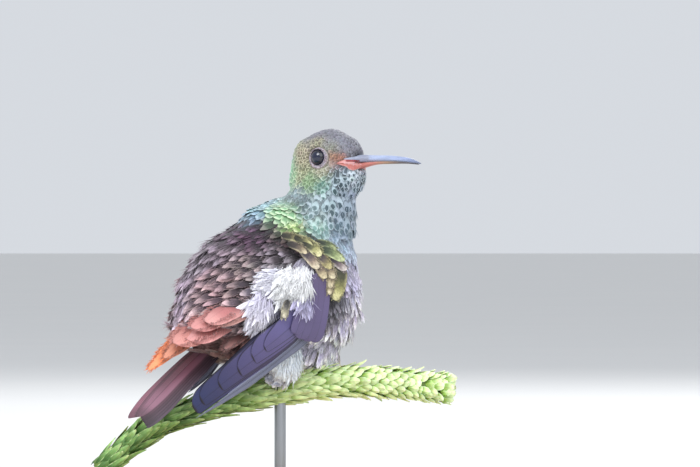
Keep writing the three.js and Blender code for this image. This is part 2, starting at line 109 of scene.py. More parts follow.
BODY = Turned(27, -2, 0)
HEAD = Turned(-38, 11.9, 6)


def on_side(place, side):
    """A place or direction on one side of the bird, given as if on its left."""
    return np.multiply(place, (1, side, 1))


# ---- meshes -----------------------------------------------------------------


def array_of(items, key, width, kind=np.int32):
    """One property of a mesh's points, corners or edges, with a row for each."""
    values = np.empty(len(items) * width, kind)
    items.foreach_get(key, values)
    return values.reshape(-1, width)


def add_field(mesh, name, values):
    """A vector for each point, which the mesh's paint reads by its name."""
    layer = mesh.attributes.new(name, "FLOAT_VECTOR", "POINT")
    layer.data.foreach_set("vector", values.astype(np.float32).ravel())


class Batch:
    """Points, faces and point fields gathered for one mesh."""

    def __init__(self):
        self.parts, self.count = [], 0

    def add(self, points, quads, tris, tint, rim, vane, patch, edge=0):
        """Each field is one value or has a row for each point."""
        fields = [(tint, 3), (rim, 3), (vane, 3), (patch, 2), (edge, 1)]
        self.parts.append([
            points, np.reshape(quads, (-1, 4)) + self.count, np.reshape(tris, (-1, 3)) + self.count,
            *(np.broadcast_to(values, (len(points), width)) for values, width in fields)])
        self.count += len(points)

    def build(self, name, material, slot, replaces=()):
        points, quads, tris, tint, rim, vane, patch, edge = map(np.concatenate, zip(*self.parts))
        piece = mesh_piece(name, points, quads, tris, material)
        mesh = piece.data
        for field, values in (("tint", tint), ("rim", rim), ("vane", vane)):
            add_field(mesh, field, values)
        corner = array_of(mesh.loops, "vertex_index", 1)[:, 0]
        uv = mesh.uv_layers.new(name="OFBake")
        uv.data.foreach_set("uv", patch[corner].astype(np.float32).ravel())
        if edge.any():
            sharp = edge[array_of(mesh.edges, "vertices", 2), 0].all(axis=1)
            layer = mesh.attributes.new("sharp_edge", "BOOLEAN", "EDGE")
            layer.data.foreach_set("value", sharp)
        return settle(piece, replaces)


def mesh_piece(name, points, quads, tris, material):
    mesh = bpy.data.meshes.new(name)
    quads = np.asarray(quads, int).reshape(-1, 4)
    tris = np.asarray(tris, int).reshape(-1, 3)
    corners = np.concatenate([quads.ravel(), tris.ravel()])
    starts = np.concatenate([np.arange(len(quads)) * 4, quads.size + np.arange(len(tris)) * 3])
    mesh.vertices.add(len(points))
    mesh.vertices.foreach_set("co", (np.asarray(points) * MM).astype(np.float32).ravel())
    mesh.loops.add(len(corners))
    mesh.loops.foreach_set("vertex_index", corners.astype(np.int32))
    mesh.polygons.add(len(starts))
    mesh.polygons.foreach_set("loop_start", starts.astype(np.int32))
    mesh.update(calc_edges=True)
    mesh.shade_smooth()
    mesh.materials.append(material)
    piece = bpy.data.objects.new(name, mesh)
    bpy.context.scene.collection.objects.link(piece)
    return piece


def settle(piece, replaces=()):
    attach(piece, "root")
    if replaces:
        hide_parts(*replaces)
    return piece


def surface_of(points, faces):
    return BVHTree.FromPolygons([tuple(p) for p in points], [tuple(f) for f in faces])


def solid_arrays(nodes):
    """The points (mm) and triangles of some solids, joined."""
    points, faces, count = [], [], 0
    for node in nodes:
        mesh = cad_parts[node].data
        mesh.calc_loop_triangles()
        points.append(array_of(mesh.vertices, "co", 3, np.float32) / MM)
        faces.append(array_of(mesh.loop_triangles, "vertices", 3) + count)
        count += len(mesh.vertices)
    return np.concatenate(points), np.concatenate(faces)


# ---- vanes, strands and blades ------------------------------------------------

PATCH = 0.003
STATIONS = np.array([0.07, 0.25, 0.48, 0.7, 0.87, 0.965])
OUTLINES = {
    "contour": [0.3, 0.72, 0.97, 1.0, 0.8, 0.46],
    "oval": [0.35, 0.8, 1.0, 0.93, 0.66, 0.36],
    "scale": [0.4, 0.8, 1.0, 1.0, 0.86, 0.54],
    "plume": [0.4, 0.85, 1.0, 0.84, 0.52, 0.22],
}


def bent_lines(f, shares):
    """A line for each row of f, which rises off the skin and bends back: its places, their
    upward sides and the way across it."""
    shares = np.concatenate([[0.0], shares, [1.0]])
    middle = (shares[1:] + shares[:-1]) / 2
    gaps = np.diff(shares)
    ahead, out = f["ahead"][:, None], f["out"][:, None]
    lift, curl = f["lift"][:, None], f["curl"][:, None]
    forward = np.cumsum(np.cos(lift - curl * middle) * gaps, axis=1)[..., None]
    rise = np.cumsum(np.sin(lift - curl * middle) * gaps, axis=1)[..., None]
    across = unit(np.cross(ahead, out))
    line = f["root"][:, None] + f["length"][:, None, None] * (forward * ahead + rise * out)
    line = line + (f["skew"] * f["length"])[:, None, None] * (shares[1:] ** 2)[:, None] * across
    here = (lift - curl * shares[1:])[..., None]
    return line, np.cos(here) * out - np.sin(here) * ahead, across


def loft_faces(rings, size):
    """Faces over a stack of rings whose first and last are single points."""
    side = np.arange(size)
    after, none = (side + 1) % size, np.zeros(size, int)
    last = 1 + size * (rings - 2)
    low = np.arange(1, last - size, size)[:, None]
    quads = np.stack([low + side, low + after, low + size + after, low + size + side], axis=-1)
    start = np.stack([none, 1 + after, 1 + side], axis=1)
    end = np.stack([last + none, last - size + side, last - size + after], axis=1)
    return quads.reshape(-1, 4), np.concatenate([start, end])


def spread(batch, f, points, quads, tris, s, t, edge):
    """Repeats one body's faces and fields over all the rows of f."""
    count, size = points.shape[:2]
    base = np.arange(count)[:, None, None] * size
    vane = np.empty((count, size, 3))
    vane[..., 0], vane[..., 1], vane[..., 2] = s, t, f["chance"][:, None]
    patch = f["patch"][:, None] + PATCH * np.stack([t / 2, s - 0.5], axis=-1)
    tint, rim = (np.repeat(f[key], size, axis=0) for key in ("tint", "rim"))
    batch.add(points.reshape(-1, 3), quads + base, tris + base, tint, rim,
              vane.reshape(-1, 3), patch.reshape(-1, 2), np.tile(edge, count)[:, None])


def add_vanes(batch, f, outline, camber=0.16, thick=0.06):
    """Closed flat vanes with a ridge down the middle, one for each row of f."""
    rings = len(STATIONS)
    line, upward, across = bent_lines(f, STATIONS)
    half = (f["width"] / 2)[:, None, None] * np.array(outline)[:, None]
    centre, up = line[:, :-1], upward[:, :-1]
    side, droop = across * half, camber * half * up
    ring = np.stack([centre - side - droop, centre + up * thick,
                     centre + side - droop, centre - up * thick], axis=2)
    points = np.concatenate([f["root"][:, None], ring.reshape(len(ring), -1, 3), line[:, -1:]], axis=1)
    s = np.concatenate([[0], np.repeat(STATIONS, 4), [1]])
    t = np.concatenate([[0], np.tile([-1, 0, 1, 0], rings), [0]])
    edge = np.concatenate([[1], np.tile([1, 0, 1, 0], rings), [1]])
    spread(batch, f, points, *loft_faces(rings + 2, 4), s, t, edge)


STRAND_SHARES, STRAND_GIRTHS = np.array([0.02, 0.36, 0.7]), np.array([0.8, 1.0, 0.7])


def add_strands(batch, f, flat=0.45):
    """Thin three-sided strands with a flat root and a pointed tip, one for each row of f."""
    line, upward, across = bent_lines(f, STRAND_SHARES)
    girth = (f["width"] / 2)[:, None, None] * STRAND_GIRTHS[:, None]
    centre, side, up = line[:, :-1], across * girth, upward[:, :-1] * girth * flat
    ring = np.stack([centre - side - up, centre + up * 2, centre + side - up], axis=2)
    points = np.concatenate([ring.reshape(len(ring), -1, 3), line[:, -1:]], axis=1)
    s = np.concatenate([np.repeat(STRAND_SHARES, 3), [1]])
    t = np.concatenate([np.tile([-0.6, 0, 0.6], len(STRAND_SHARES)), [0]])
    quads, tris = loft_faces(len(STRAND_SHARES) + 2, 3)
    tris = np.concatenate([[[0, 2, 1]], tris[3:] - 1])
    spread(batch, f, points, quads - 1, tris, s, t, np.zeros(len(s)))


BLADE_ACROSS = np.array([-1, -0.55, -0.1, 0, 0.1, 0.55, 1])


def add_stack(batch, first, rings, last, shares, across, tint, rim, patch, sharp=False):
    """A closed body over a stack of rings with a point at each end. Shares are how far
    along it the ends and the rings lie, across is where a ring's points lie from side to
    side, and the colours may change along it."""
    count, size = rings.shape[:2]

    def over_points(values):
        return np.concatenate([values[:1], np.repeat(values[1:-1], size, axis=0), values[-1:]])

    s = over_points(shares)
    t = np.concatenate([[0], np.tile(across, count), [0]])
    edge = np.abs(t) == 1
    edge[[0, -1]] = True
    vane = np.stack([s, t, np.full(len(s), rng.random())], axis=1)
    (u0, v0), (u1, v1) = patch
    place = np.stack([mix(u0, u1, (t + 1) / 2), mix(v0, v1, s)], axis=1)
    tint, rim = (over_points(np.broadcast_to(colour, (count + 2, 3))) for colour in (tint, rim))
    points = np.vstack([first, rings.reshape(-1, 3), last])
    batch.add(points, *loft_faces(count + 2, size), tint, rim, vane, place, (edge & sharp)[:, None])


def add_sheet(batch, sheet, up, shares, tint, rim, patch, thick=0.16, rachis=0.1):
    """A long feather as a closed body round a grid of places: a row for each share of
    its length, a column for each place across."""
    middle = len(BLADE_ACROSS) // 2
    t = np.abs(BLADE_ACROSS)[:, None]
    body = thick * (1 - t) ** 0.6 / 2
    ridge = rachis * (t < 0.05) * (1 - shares ** 2)[:, None, None]
    top, base = sheet + up * (body + ridge), sheet - up * (body + ridge / 2)
    ring = np.concatenate([top, base[:, -2:0:-1]], axis=1)
    ring_t = np.concatenate([BLADE_ACROSS, BLADE_ACROSS[-2:0:-1]])
    add_stack(batch, sheet[0, middle], ring[1:-1], sheet[-1, middle], shares, ring_t,
              tint, rim, patch, sharp=True)


def add_blade(batch, line, out, half, shares, tint, rim, patch, camber=0.1, **shape):
    """One long feather along a line; out and half have a value for each place on it."""
    ahead = unit(np.gradient(line, axis=0))
    across = unit(np.cross(ahead, out))
    up = unit(np.cross(across, ahead))[:, None]
    t = BLADE_ACROSS[None, :, None]
    half = half[:, None, None]
    sheet = line[:, None] + across[:, None] * t * half - up * camber * half * t * t
    add_sheet(batch, sheet, up, shares, tint, rim, patch, **shape)


def feather_shares(count):
    """Places along a feather, closer together towards its tip."""
    return np.sin(np.linspace(0, 1, count) * math.pi / 2)


def rounded(shares, start=0.8, power=2.0, root=0.35):
    """A blade's outline, as a share of its full half width."""
    grow = mix(root, 1, step_between(0, 0.35, shares))
    return grow * (1 - np.clip((shares - start) / (1 - start), 0, 1) ** power) ** 0.5


def fringe(line, out, half, shares, tint, patch, count, length, start=0.35, girth=0.16):
    """Rows for loose barbs round the outer part of a blade."""
    at = rng.uniform(start, 1, count) ** 0.7
    side = rng.choice([-1, 1], count) * rng.uniform(0.3, 1, count) ** 0.4
    ahead = unit(read_at(at, shares, unit(np.gradient(line, axis=0))))
    out = unit(read_at(at, shares, np.broadcast_to(out, line.shape)))
    across = unit(np.cross(ahead, out))
    wide = np.interp(at, shares, half)
    light = np.exp(rng.normal(0, 0.1, count))[:, None]
    (u0, v0), (u1, v1) = patch
    return {
        "root": read_at(at, shares, line) + across * (side * wide * 0.85)[:, None], "out": out,
        "patch": np.stack([mix(u0, u1, (side + 1) / 2), mix(v0, v1, at)], 1),
        "ahead": unit(ahead + across * (side * rng.uniform(0.1, 0.9, count))[:, None]),
        "length": length * rng.uniform(0.5, 1.2, count), "width": girth * rng.uniform(0.7, 1.4, count),
        "lift": rng.normal(0.1, 0.15, count), "curl": rng.normal(0.1, 0.3, count),
        "skew": rng.normal(0, 0.1, count), "chance": rng.random(count),
        "tint": tint * light, "rim": tint * light * 1.1,
    }


def patch_cell(index, count, margin=0.06):
    """One of count tall strips across the unit square."""
    low, high = (index + margin) / count, (index + 1 - margin) / count
    return (low, 0.02), (high, 0.98)


def smooth_line(knots, count):
    """A Catmull-Rom curve through knots, with evenly spaced points."""
    knots = np.asarray(knots, float)
    whole = np.vstack([2 * knots[0] - knots[1], knots, 2 * knots[-1] - knots[-2]])
    t = np.linspace(0, 1, 24, endpoint=False)[:, None]
    rows = []
    for p0, p1, p2, p3 in zip(whole, whole[1:], whole[2:], whole[3:]):
        rows.append(0.5 * (2 * p1 + (p2 - p0) * t + (2 * p0 - 5 * p1 + 4 * p2 - p3) * t ** 2
                           + (3 * p1 - p0 - 3 * p2 + p3) * t ** 3))
    fine = np.vstack(rows + [knots[-1:]])
    length = np.concatenate([[0], np.cumsum(np.linalg.norm(np.diff(fine, axis=0), axis=1))])
    return read_at(np.linspace(0, length[-1], count), length, fine)


LINE_POINTS = 60


def curve(knots, shares):
    """A smooth line through knots, read at shares of its length."""
    return read_at(shares, np.linspace(0, 1, LINE_POINTS), smooth_line(knots, LINE_POINTS))


def tube(batch, line, reach, tint, side=(0, 0, 1), segments=16):
    """A closed tube along a line. Reach is its radius at each point, or two columns: the
    radius towards the given side and the other one."""
    line = np.asarray(line, float)
    reach = np.broadcast_to(np.asarray(reach, float).reshape(len(line), -1), (len(line), 2))
    ahead = unit(np.gradient(line, axis=0))
    side = np.asarray(side, float)
    side = unit(side - dot(side, ahead) * ahead)
    other = np.cross(ahead, side)
    angle = np.linspace(0, 2 * math.pi, segments, endpoint=False)[:, None]
    ring = (line[:, None] + reach[:, None, :1] * np.cos(angle) * side[:, None]
            + reach[:, None, 1:] * np.sin(angle) * other[:, None])
    add_rings(batch, ring, tint)


def add_rings(batch, ring, tint):
    """A closed body over a stack of rings; the first and last shrink to points."""
    rings, size = ring.shape[:2]
    add_stack(batch, ring[0].mean(axis=0), ring[1:-1], ring[-1].mean(axis=0), np.linspace(0, 1, rings),
              np.linspace(-1, 1, size), tint, tint, ((0.01, 0.01), (0.99, 0.99)))


def add_loop(batch, ring, tint, rim):
    """A closed ring-shaped body: each row of places is one section of it."""
    rings, size = ring.shape[:2]
    here = np.arange(rings * size).reshape(rings, size)
    on = np.roll(here, -1, axis=0)
    quads = np.stack([here, on, np.roll(on, -1, axis=1), np.roll(here, -1, axis=1)], axis=-1)
    row, column = np.indices((rings, size)).reshape(2, -1)
    s, t = row / rings, column / size
    batch.add(ring.reshape(-1, 3), quads, np.empty((0, 3), int), tint, rim,
              np.stack([s, t * 2 - 1, 0 * s], axis=1), np.stack([s, t], axis=1))


# ---- materials ----------------------------------------------------------------

SPOT_PLACE, SPOT_HALF_LENGTH, SPOT_HALF_WIDTH = 0.72, 0.27, 0.74


class Paint:
    """A node material, built one step at a time on a Principled surface."""

    def __init__(self, name, **constants):
        self.material = bpy.data.materials.new(name)
        self.material.use_nodes = True
        self.tree = self.material.node_tree
        self.surface = self.tree.nodes["Principled BSDF"]
        for socket, value in constants.items():
            self.surface.inputs[socket.replace("_", " ")].default_value = value

    def node(self, kind, inputs=None, **settings):
        node = self.tree.nodes.new("ShaderNode" + kind)
        for key, value in settings.items():
            setattr(node, key, value)
        for key, value in (inputs or {}).items():
            self.feed(node.inputs[key], value)
        return node

    def feed(self, socket, value):
        if isinstance(value, bpy.types.NodeSocket):
            self.tree.links.new(value, socket)
        elif hasattr(socket.default_value, "__len__") and len(socket.default_value) == 4:
            socket.default_value = (*value, 1.0)
        else:
            socket.default_value = value

    def math(self, operation, a, b=0.0):
        return self.node("Math", {0: a, 1: b}, operation=operation).outputs[0]

    def times(self, a, b):
        return self.math("MULTIPLY", a, b)

    def plus(self, a, b):
        return self.math("ADD", a, b)

    def band(self, value, low, high, to_low=0.0, to_high=1.0):
        """A smooth step of a value from one number to another."""
        inputs = {"Value": value, "From Min": low, "From Max": high, "To Min": to_low, "To Max": to_high}
        return self.node("MapRange", inputs, interpolation_type="SMOOTHSTEP").outputs[0]

    def mix(self, share, a, b, blend="MIX"):
        node = self.node("Mix", data_type="RGBA", blend_type=blend)
        for socket, value in ((node.inputs[0], share), (node.inputs[6], a), (node.inputs[7], b)):
            self.feed(socket, value)
        return node.outputs[2]

    def scaled(self, colour, by):
        """A colour made darker or lighter by a number."""
        return self.node("VectorMath", {0: colour, "Scale": by}, operation="SCALE").outputs[0]

    def field(self, name):
        return self.node("Attribute", attribute_name=name).outputs["Vector"]

    def vane(self):
        """How far along and across its own feather a point lies, and the feather's chance."""
        return self.node("SeparateXYZ", {0: self.field("vane")}).outputs

    def place(self):
        return self.node("TexCoord").outputs["Object"]

    def noise(self, scale, detail=3.0, stretch=(1, 1, 1)):
        """Noise over the object's own place; scale counts its cells a metre."""
        place = self.node("VectorMath", {0: self.place(), 1: stretch}, operation="MULTIPLY").outputs[0]
        return self.node("TexNoise", {"Vector": place, "Scale": scale, "Detail": detail}).outputs[0]

    def finish(self, colour, height=None, strength=0.3, distance=0.0001):
        self.feed(self.surface.inputs["Base Color"], colour)
        if height is not None:
            bump = self.node("Bump", {"Height": height, "Strength": strength, "Distance": distance})
            self.feed(self.surface.inputs["Normal"], bump.outputs[0])
        return self.material


def feather_paint(name, edge=0.3, barbs=26, root_shade=0.45, barb_depth=0.12, shaft=0.12,
                  spot=False, side_rim=None, mottle=0.0, painted_shade_to=0.55, **constants):
    """A feather's colour from its own tint to its rim's, darkened towards the root as painted
    shade of the feathers that overlap it, with slanting barbs and a shaft. It reads how far
    along and across the vane a point lies.
    A spotted feather has its tint in a disc near the tip and its rim's colour elsewhere."""
    paint = Paint(name, **constants)
    vane = paint.vane()
    along, across, chance = vane[0], paint.math("ABSOLUTE", vane[1]), vane[2]
    if spot:
        gap = paint.times(paint.math("SUBTRACT", along, SPOT_PLACE), 1 / SPOT_HALF_LENGTH)
        side = paint.times(across, 1 / SPOT_HALF_WIDTH)
        out = paint.plus(paint.times(gap, gap), paint.times(side, side))
        border = paint.band(paint.plus(out, paint.times(chance, 0.35)), 0.65, 1.45)
    else:
        outer = paint.band(along, 1 - edge, 1 - edge / 4)
        side_rim = edge * 1.5 if side_rim is None else side_rim
        border = paint.math("MAXIMUM", outer, paint.band(across, 1 - side_rim, 1.0))
    colour = paint.mix(border, paint.field("tint"), paint.field("rim"))
    slant = paint.math("SUBTRACT", along, paint.times(across, 0.35))
    wander = paint.times(paint.noise(900.0), 0.06)
    row = paint.plus(slant, paint.plus(wander, chance))
    ridge = paint.math("SINE", paint.times(row, barbs * 2 * math.pi))
    # painted shade: each feather darkens towards its root, where the feathers over it would shade it
    shade = paint.band(along, 0.0, painted_shade_to, root_shade, 1.0)
    line = paint.band(across, 0.02, 0.09, 1 - shaft, 1.0)
    light = paint.times(paint.times(shade, line), paint.plus(paint.times(ridge, barb_depth), 1.0))
    if mottle:
        blotch = paint.band(paint.noise(1500.0, 4.0), 0.3, 0.7, 1 - mottle, 1 + mottle / 2)
        light = paint.times(light, blotch)
    return paint.finish(paint.scaled(colour, light), ridge, 0.25, 0.00004)


# ---- skin -----------------------------------------------------------------------

FLESH = ["head", "neck", "trunk", "thigh_right", "thigh_left"]
VOXEL = 0.55
OVERLAP = 0.25  # carries the solids over the thin gaps between them
SKIN_SMOOTHING = 14


def largest_body(count, edges):
    """Marks the points of the largest connected body."""
    label = np.arange(count)
    while True:
        low = np.minimum(label[edges[:, 0]], label[edges[:, 1]])
        new = label.copy()
        np.minimum.at(new, edges[:, 0], low)
        np.minimum.at(new, edges[:, 1], low)
        new = new[new]
        if (new == label).all():
            break
        label = new
    values, sizes = np.unique(label, return_counts=True)
    return label == values[np.argmax(sizes)]


def point_normals(points, faces):
    normals = np.zeros_like(points)
    face = np.cross(points[faces[:, 2]] - points[faces[:, 0]], points[faces[:, -1]] - points[faces[:, 1]])
    if faces.shape[1] == 3:
        face = np.cross(points[faces[:, 1]] - points[faces[:, 0]], points[faces[:, 2]] - points[faces[:, 0]])
    for corner in range(faces.shape[1]):
        np.add.at(normals, faces[:, corner], face)
    return unit(normals)


def remeshed_flesh():
    """One closed quad mesh round all the flesh: its points (mm) and faces."""
    points, faces = solid_arrays(FLESH)
    points = points + OVERLAP * point_normals(points, faces)
    draft = mesh_piece("draft", points, [], faces, None)
    remesh = draft.modifiers.new("remesh", "REMESH")
    remesh.mode = "VOXEL"
    remesh.voxel_size = VOXEL * MM
    graph = bpy.context.evaluated_depsgraph_get()
    mesh = bpy.data.meshes.new_from_object(draft.evaluated_get(graph))
    bpy.data.objects.remove(draft)
    points = array_of(mesh.vertices, "co", 3, np.float32) / MM
    faces = array_of(mesh.loops, "vertex_index", 1).reshape(-1, 4)
    edges = array_of(mesh.edges, "vertices", 2)
    bpy.data.meshes.remove(mesh)
    keep = largest_body(len(points), edges)
    number = np.cumsum(keep) - 1
    return points[keep], number[faces[keep[faces[:, 0]]]], number[edges[keep[edges[:, 0]]]]


def smoothed(points, edges, rounds):
    count = len(points)
    links = np.bincount(edges.ravel(), minlength=count)[:, None]
    for _ in range(rounds):
        total = np.zeros_like(points)
        for axis in range(3):
            total[:, axis] = (
                np.bincount(edges[:, 0], points[edges[:, 1], axis], minlength=count)
                + np.bincount(edges[:, 1], points[edges[:, 0], axis], minlength=count))
        points = mix(points, total / links, 0.6)
    return points


# ---- the lie, size and colour of the coat -----------------------------------------

# Each landmark, in the head's frame or the body's: its place (u, v, z) on the bird's left
# or right alike, how far it counts, feather length and width, lift in degrees, how loose
# the tips are, which way the feathers lie (None: away from the bill), their colour and
# their rim's.
HEAD_MARKS = {
    "forehead": ((13, 0, 97), 2.6, 1.0, 0.8, 7, 0, None, "727078", "7f7d89"),
    "forecrown": ((10, 3, 99), 3, 1.1, 0.9, 7, 0, None, "706f78", "7d7c88"),
    "crown": ((4, 0, 102), 4.5, 1.3, 1.0, 8, 0, None, "6f6e78", "7f7e8a"),
    "crown_side": ((8, 4.2, 97.6), 1.5, 1.2, 0.9, 9, 0, None, "757358", "a7a997"),
    "brow": ((3.2, 5.0, 99.3), 2.0, 1.4, 1.1, 11, 0, None, "726b4f", "c9c5a2"),
    "lores": ((9.0, 4.5, 95.1), 1.0, 0.9, 0.7, 7, 0, None, "7a4a30", "b07048"),
    "lores_back": ((7.5, 5.2, 95.4), 0.9, 0.9, 0.7, 7, 0, None, "7c5638", "b88a62"),
    "lores_fore": ((10.5, 3.8, 94.9), 0.9, 0.9, 0.7, 7, 0, None, "8a5038", "c07a56"),
    "lores_low": ((7.8, 4.9, 93.6), 0.85, 0.8, 0.6, 7, 0, None, "987a72", "b59f96"),
    "eye_front": ((6.6, 5.5, 93.9), 0.7, 0.8, 0.6, 7, 0, None, "9e8982", "beafa7"),
    "under_eye": ((5, 7, 91.6), 1.8, 1.2, 1.0, 10, 0, None, "85826a", "c7c4ae"),
    "behind_eye": ((-2, 6.9, 95.5), 2.6, 1.5, 1.1, 12, 0, None, "766d56", "d5caae"),
    "back_head": ((-8, 2, 98.5), 3, 1.6, 1.2, 10, 0, None, "767c61", "c7c8a7"),
    "ear": ((-2, 7.3, 91.5), 2.4, 1.6, 1.2, 12, 0, None, "717456", "cbcfa9"),
    "cheek": ((2.5, 8, 88.9), 1.8, 1.5, 1.2, 12, 0, None, "607c52", "9fb88f"),
    "jaw": ((6, 7, 88), 1.6, 1.6, 1.2, 10, 0, None, "4c7567", "86a99a"),
    "nape": ((-10, 2, 92), 3, 1.8, 1.3, 10, 0, None, "83be9e", "c8f2d5"),
    "nape_side": ((-6, 6, 89.5), 2.4, 1.8, 1.4, 10, 0, None, "7fa37c", "c4dab6"),
    "low_nape": ((-9.5, 0, 86.5), 2.8, 2.2, 1.6, 10, 0.1, (-0.5, 0, -1), "81a59d", "b4cfc8"),
    "nape_pale": ((-6, 7, 86), 1.8, 2.0, 1.5, 10, 0.1, (-0.3, 0, -1), "839798", "b3c0c0"),
    "neck_pale": ((-1, 7.9, 84), 2.2, 2.4, 1.7, 11, 0.1, (-0.1, 0, -1), "85969c", "b8c4c9"),
    "chin": ((13, 2, 91), 1.9, 1.9, 1.2, 13, 0, (0.1, 0, -1), "404f57", "b9c4cb"),
    "throat_top": ((10.5, 5.5, 88), 2.4, 2.6, 1.6, 14, 0, (-0.1, 0, -1), "2a3d44", "a7b7c0"),
    "throat": ((9, 6.5, 84.5), 3.0, 3.4, 2.0, 14, 0.1, (-0.05, 0, -1), "2d414a", "a2b3bc"),
    "throat_front": ((12, 0, 85), 3.0, 3.4, 2.0, 15, 0.1, (0.05, 0, -1), "394c5b", "abb8c9"),
    "throat_low": ((10, 2.5, 79.5), 3.2, 4.0, 2.3, 15, 0.3, (0.05, 0, -1), "495d68", "96a5b1"),
    "neck_side": ((4, 9.5, 80.5), 3.0, 3.3, 2.1, 14, 0.2, (-0.1, 0, -1), "526469", "9aaaaf"),
}
BODY_MARKS = {
    "bib": ((20, 5, 73), 3.2, 3.6, 2.2, 14, 0.7, (0.1, 0, -1), "889bb1", "c5d4e9"),
    "bib_side": ((14, 11.5, 72), 2.8, 3.4, 2.0, 13, 0.6, (0.3, 0, -1), "8192a3", "b9cadc"),
    "cape_tip": ((-7, 4.5, 80), 2.1, 3.2, 2.0, 8, 0.1, (-1, 0.1, -0.3), "809cb1", "aec5dc"),
    "cape_back": ((-3.5, 0, 83), 2.4, 2.8, 2.0, 9, 0.1, (-1, 0, -0.45), "7799a0", "abc8d3"),
    "spine_top": ((-12, 0, 77), 3.2, 5.2, 1.9, 17, 0.6, (-1, 0, -0.4), "2d1e29", "6b5265"),
    "cape": ((0, 9, 81), 3.0, 2.8, 2.1, 13, 0.1, (-0.7, 0.1, -0.8), "7ca47c", "c4ddb5"),
    "cape_edge": ((1.5, 11.5, 77), 2.0, 2.8, 2.1, 14, 0.1, (-0.5, 0.1, -1), "8ba957", "d8e6a9"),
    "cape_front": ((7.5, 12.2, 78), 2.4, 2.8, 2.0, 13, 0.1, (-0.1, 0, -1), "779b91", "b4cdc4"),
    "mantle_top": ((-7, 8, 75), 3.6, 6.2, 1.7, 18, 1.0, (-1, 0, -0.28), "251523", "6a4962"),
    "shoulder": ((1, 14, 73.5), 2.6, 4.6, 1.9, 15, 0.7, (-0.9, 0, -0.5), "281c25", "664e55"),
    "mantle_up": ((-17, 7, 71), 4.0, 7.0, 1.9, 22, 1.0, (-1, 0, -0.4), "42323c", "a792a0"),
    "spine": ((-19, 0, 70), 4.0, 7.0, 1.9, 22, 1.0, (-0.8, 0, -0.6), "4b3d46", "afa0ad"),
    "mantle_mid": ((-19.5, 12, 62), 4.4, 7.2, 1.9, 22, 1.0, (-1, 0, -0.25), "4b3840", "c09da1"),
    "flank_top": ((-12, 16, 65), 3.8, 6.4, 1.9, 21, 1.0, (-1, 0, -0.15), "43353d", "ac9794"),
    "mantle_low": ((-25, 9.5, 54), 4.2, 7.4, 2.1, 22, 1.0, (-1, 0, -0.3), "5c474f", "cfb0af"),
    "mantle_edge": ((-27.5, 1, 59), 4.0, 7.2, 1.9, 22, 1.0, (-0.75, 0, -0.65), "6b5b67", "d7c2d5"),
    "rump": ((-29, 2, 49), 3.6, 6.4, 2.2, 15, 0.8, (-0.9, 0, -0.6), "7e6a76", "c9b8c4"),
    "flank_low": ((-17, 13.5, 52), 3.6, 6.0, 1.9, 18, 1.0, (-1, 0, -0.35), "55444c", "c3a4a5"),
    "flank_fore": ((-4, 18, 67), 3.4, 5.6, 1.9, 18, 1.0, (-0.95, 0, -0.3), "42373d", "a1969e"),
    "flank": ((-4, 19, 54), 4.0, 5.0, 2.2, 16, 1.0, (-0.5, 0, -0.9), "69657a", "aaa6bf"),
    # painted shade: the hollow between the breast and the wing is given a dark colour for the shade in it
    "hollow": ((13, 16, 56), 3.2, 4.6, 1.8, 14, 1.0, (0.1, 0, -1), "363337", "89848f"),
    "breast_side": ((17, 12.5, 64), 3.2, 5.0, 1.9, 17, 1.0, (0.25, 0, -1), "948da2", "e1d9f4"),
    "breast": ((24, 0, 62), 4.5, 5.2, 2.0, 17, 1.0, (0.15, 0, -1), "bdb2ce", "fcf4ff"),
    "breast_mid": ((21, 9.5, 54), 4.0, 5.6, 2.0, 18, 1.0, (0.15, 0, -1), "c9c0de", "fff9ff"),
    "breast_low": ((13, 10, 44), 4.0, 5.4, 2.0, 17, 1.0, (-0.1, 0, -1), "c5bdd7", "fffdff"),
    "keel": ((17, 0, 44), 4.0, 5.4, 2.0, 15, 1.0, (-0.35, 0, -1), "cac1d6", "fffdff"),
    "belly": ((5, 8, 39.5), 4.0, 5.0, 2.0, 15, 1.0, (-0.6, 0, -0.8), "9b98ac", "d2cfe2"),
    "under": ((-4, 0, 37), 5.0, 4.6, 2.2, 10, 1.0, (-1, 0, -0.15), "a5a3b4", "d4d2e2"),
    "vent": ((-17, 4, 41), 4.0, 4.6, 2.2, 10, 0.8, (-1, 0, -0.25), "6e4c46", "94706a"),
    "strip": ((-16, 10.5, 43), 2.8, 3.6, 2.0, 12, 0.6, (-0.8, 0, -0.6), "5c3c3a", "8a625a"),
    "puff": ((-3.2, 18.8, 62), 2.4, 4.5, 2.0, 20, 1.0, (-0.4, 0, -1), "f2f0fa", "ffffff"),
    "puff_rear": ((-9, 17, 60.5), 2.0, 4.5, 2.0, 20, 1.0, (-0.9, 0, -0.5), "aba7ba", "eae8f4"),
    "puff_under": ((-12, 16.3, 53.5), 2.1, 4.5, 2.0, 20, 1.0, (-0.3, 0, -1), "bdb9cc", "f0eef8"),
    "thigh": ((1, 8, 37), 3.0, 3.0, 1.4, 24, 1.0, (-0.3, 0, -1), "dfe4f0", "ffffff"),
}
SHARPNESS = 3.2
BILL_ROOT = (13, 0, 94)
COLUMNS = ("length", "width", "lift", "loose")


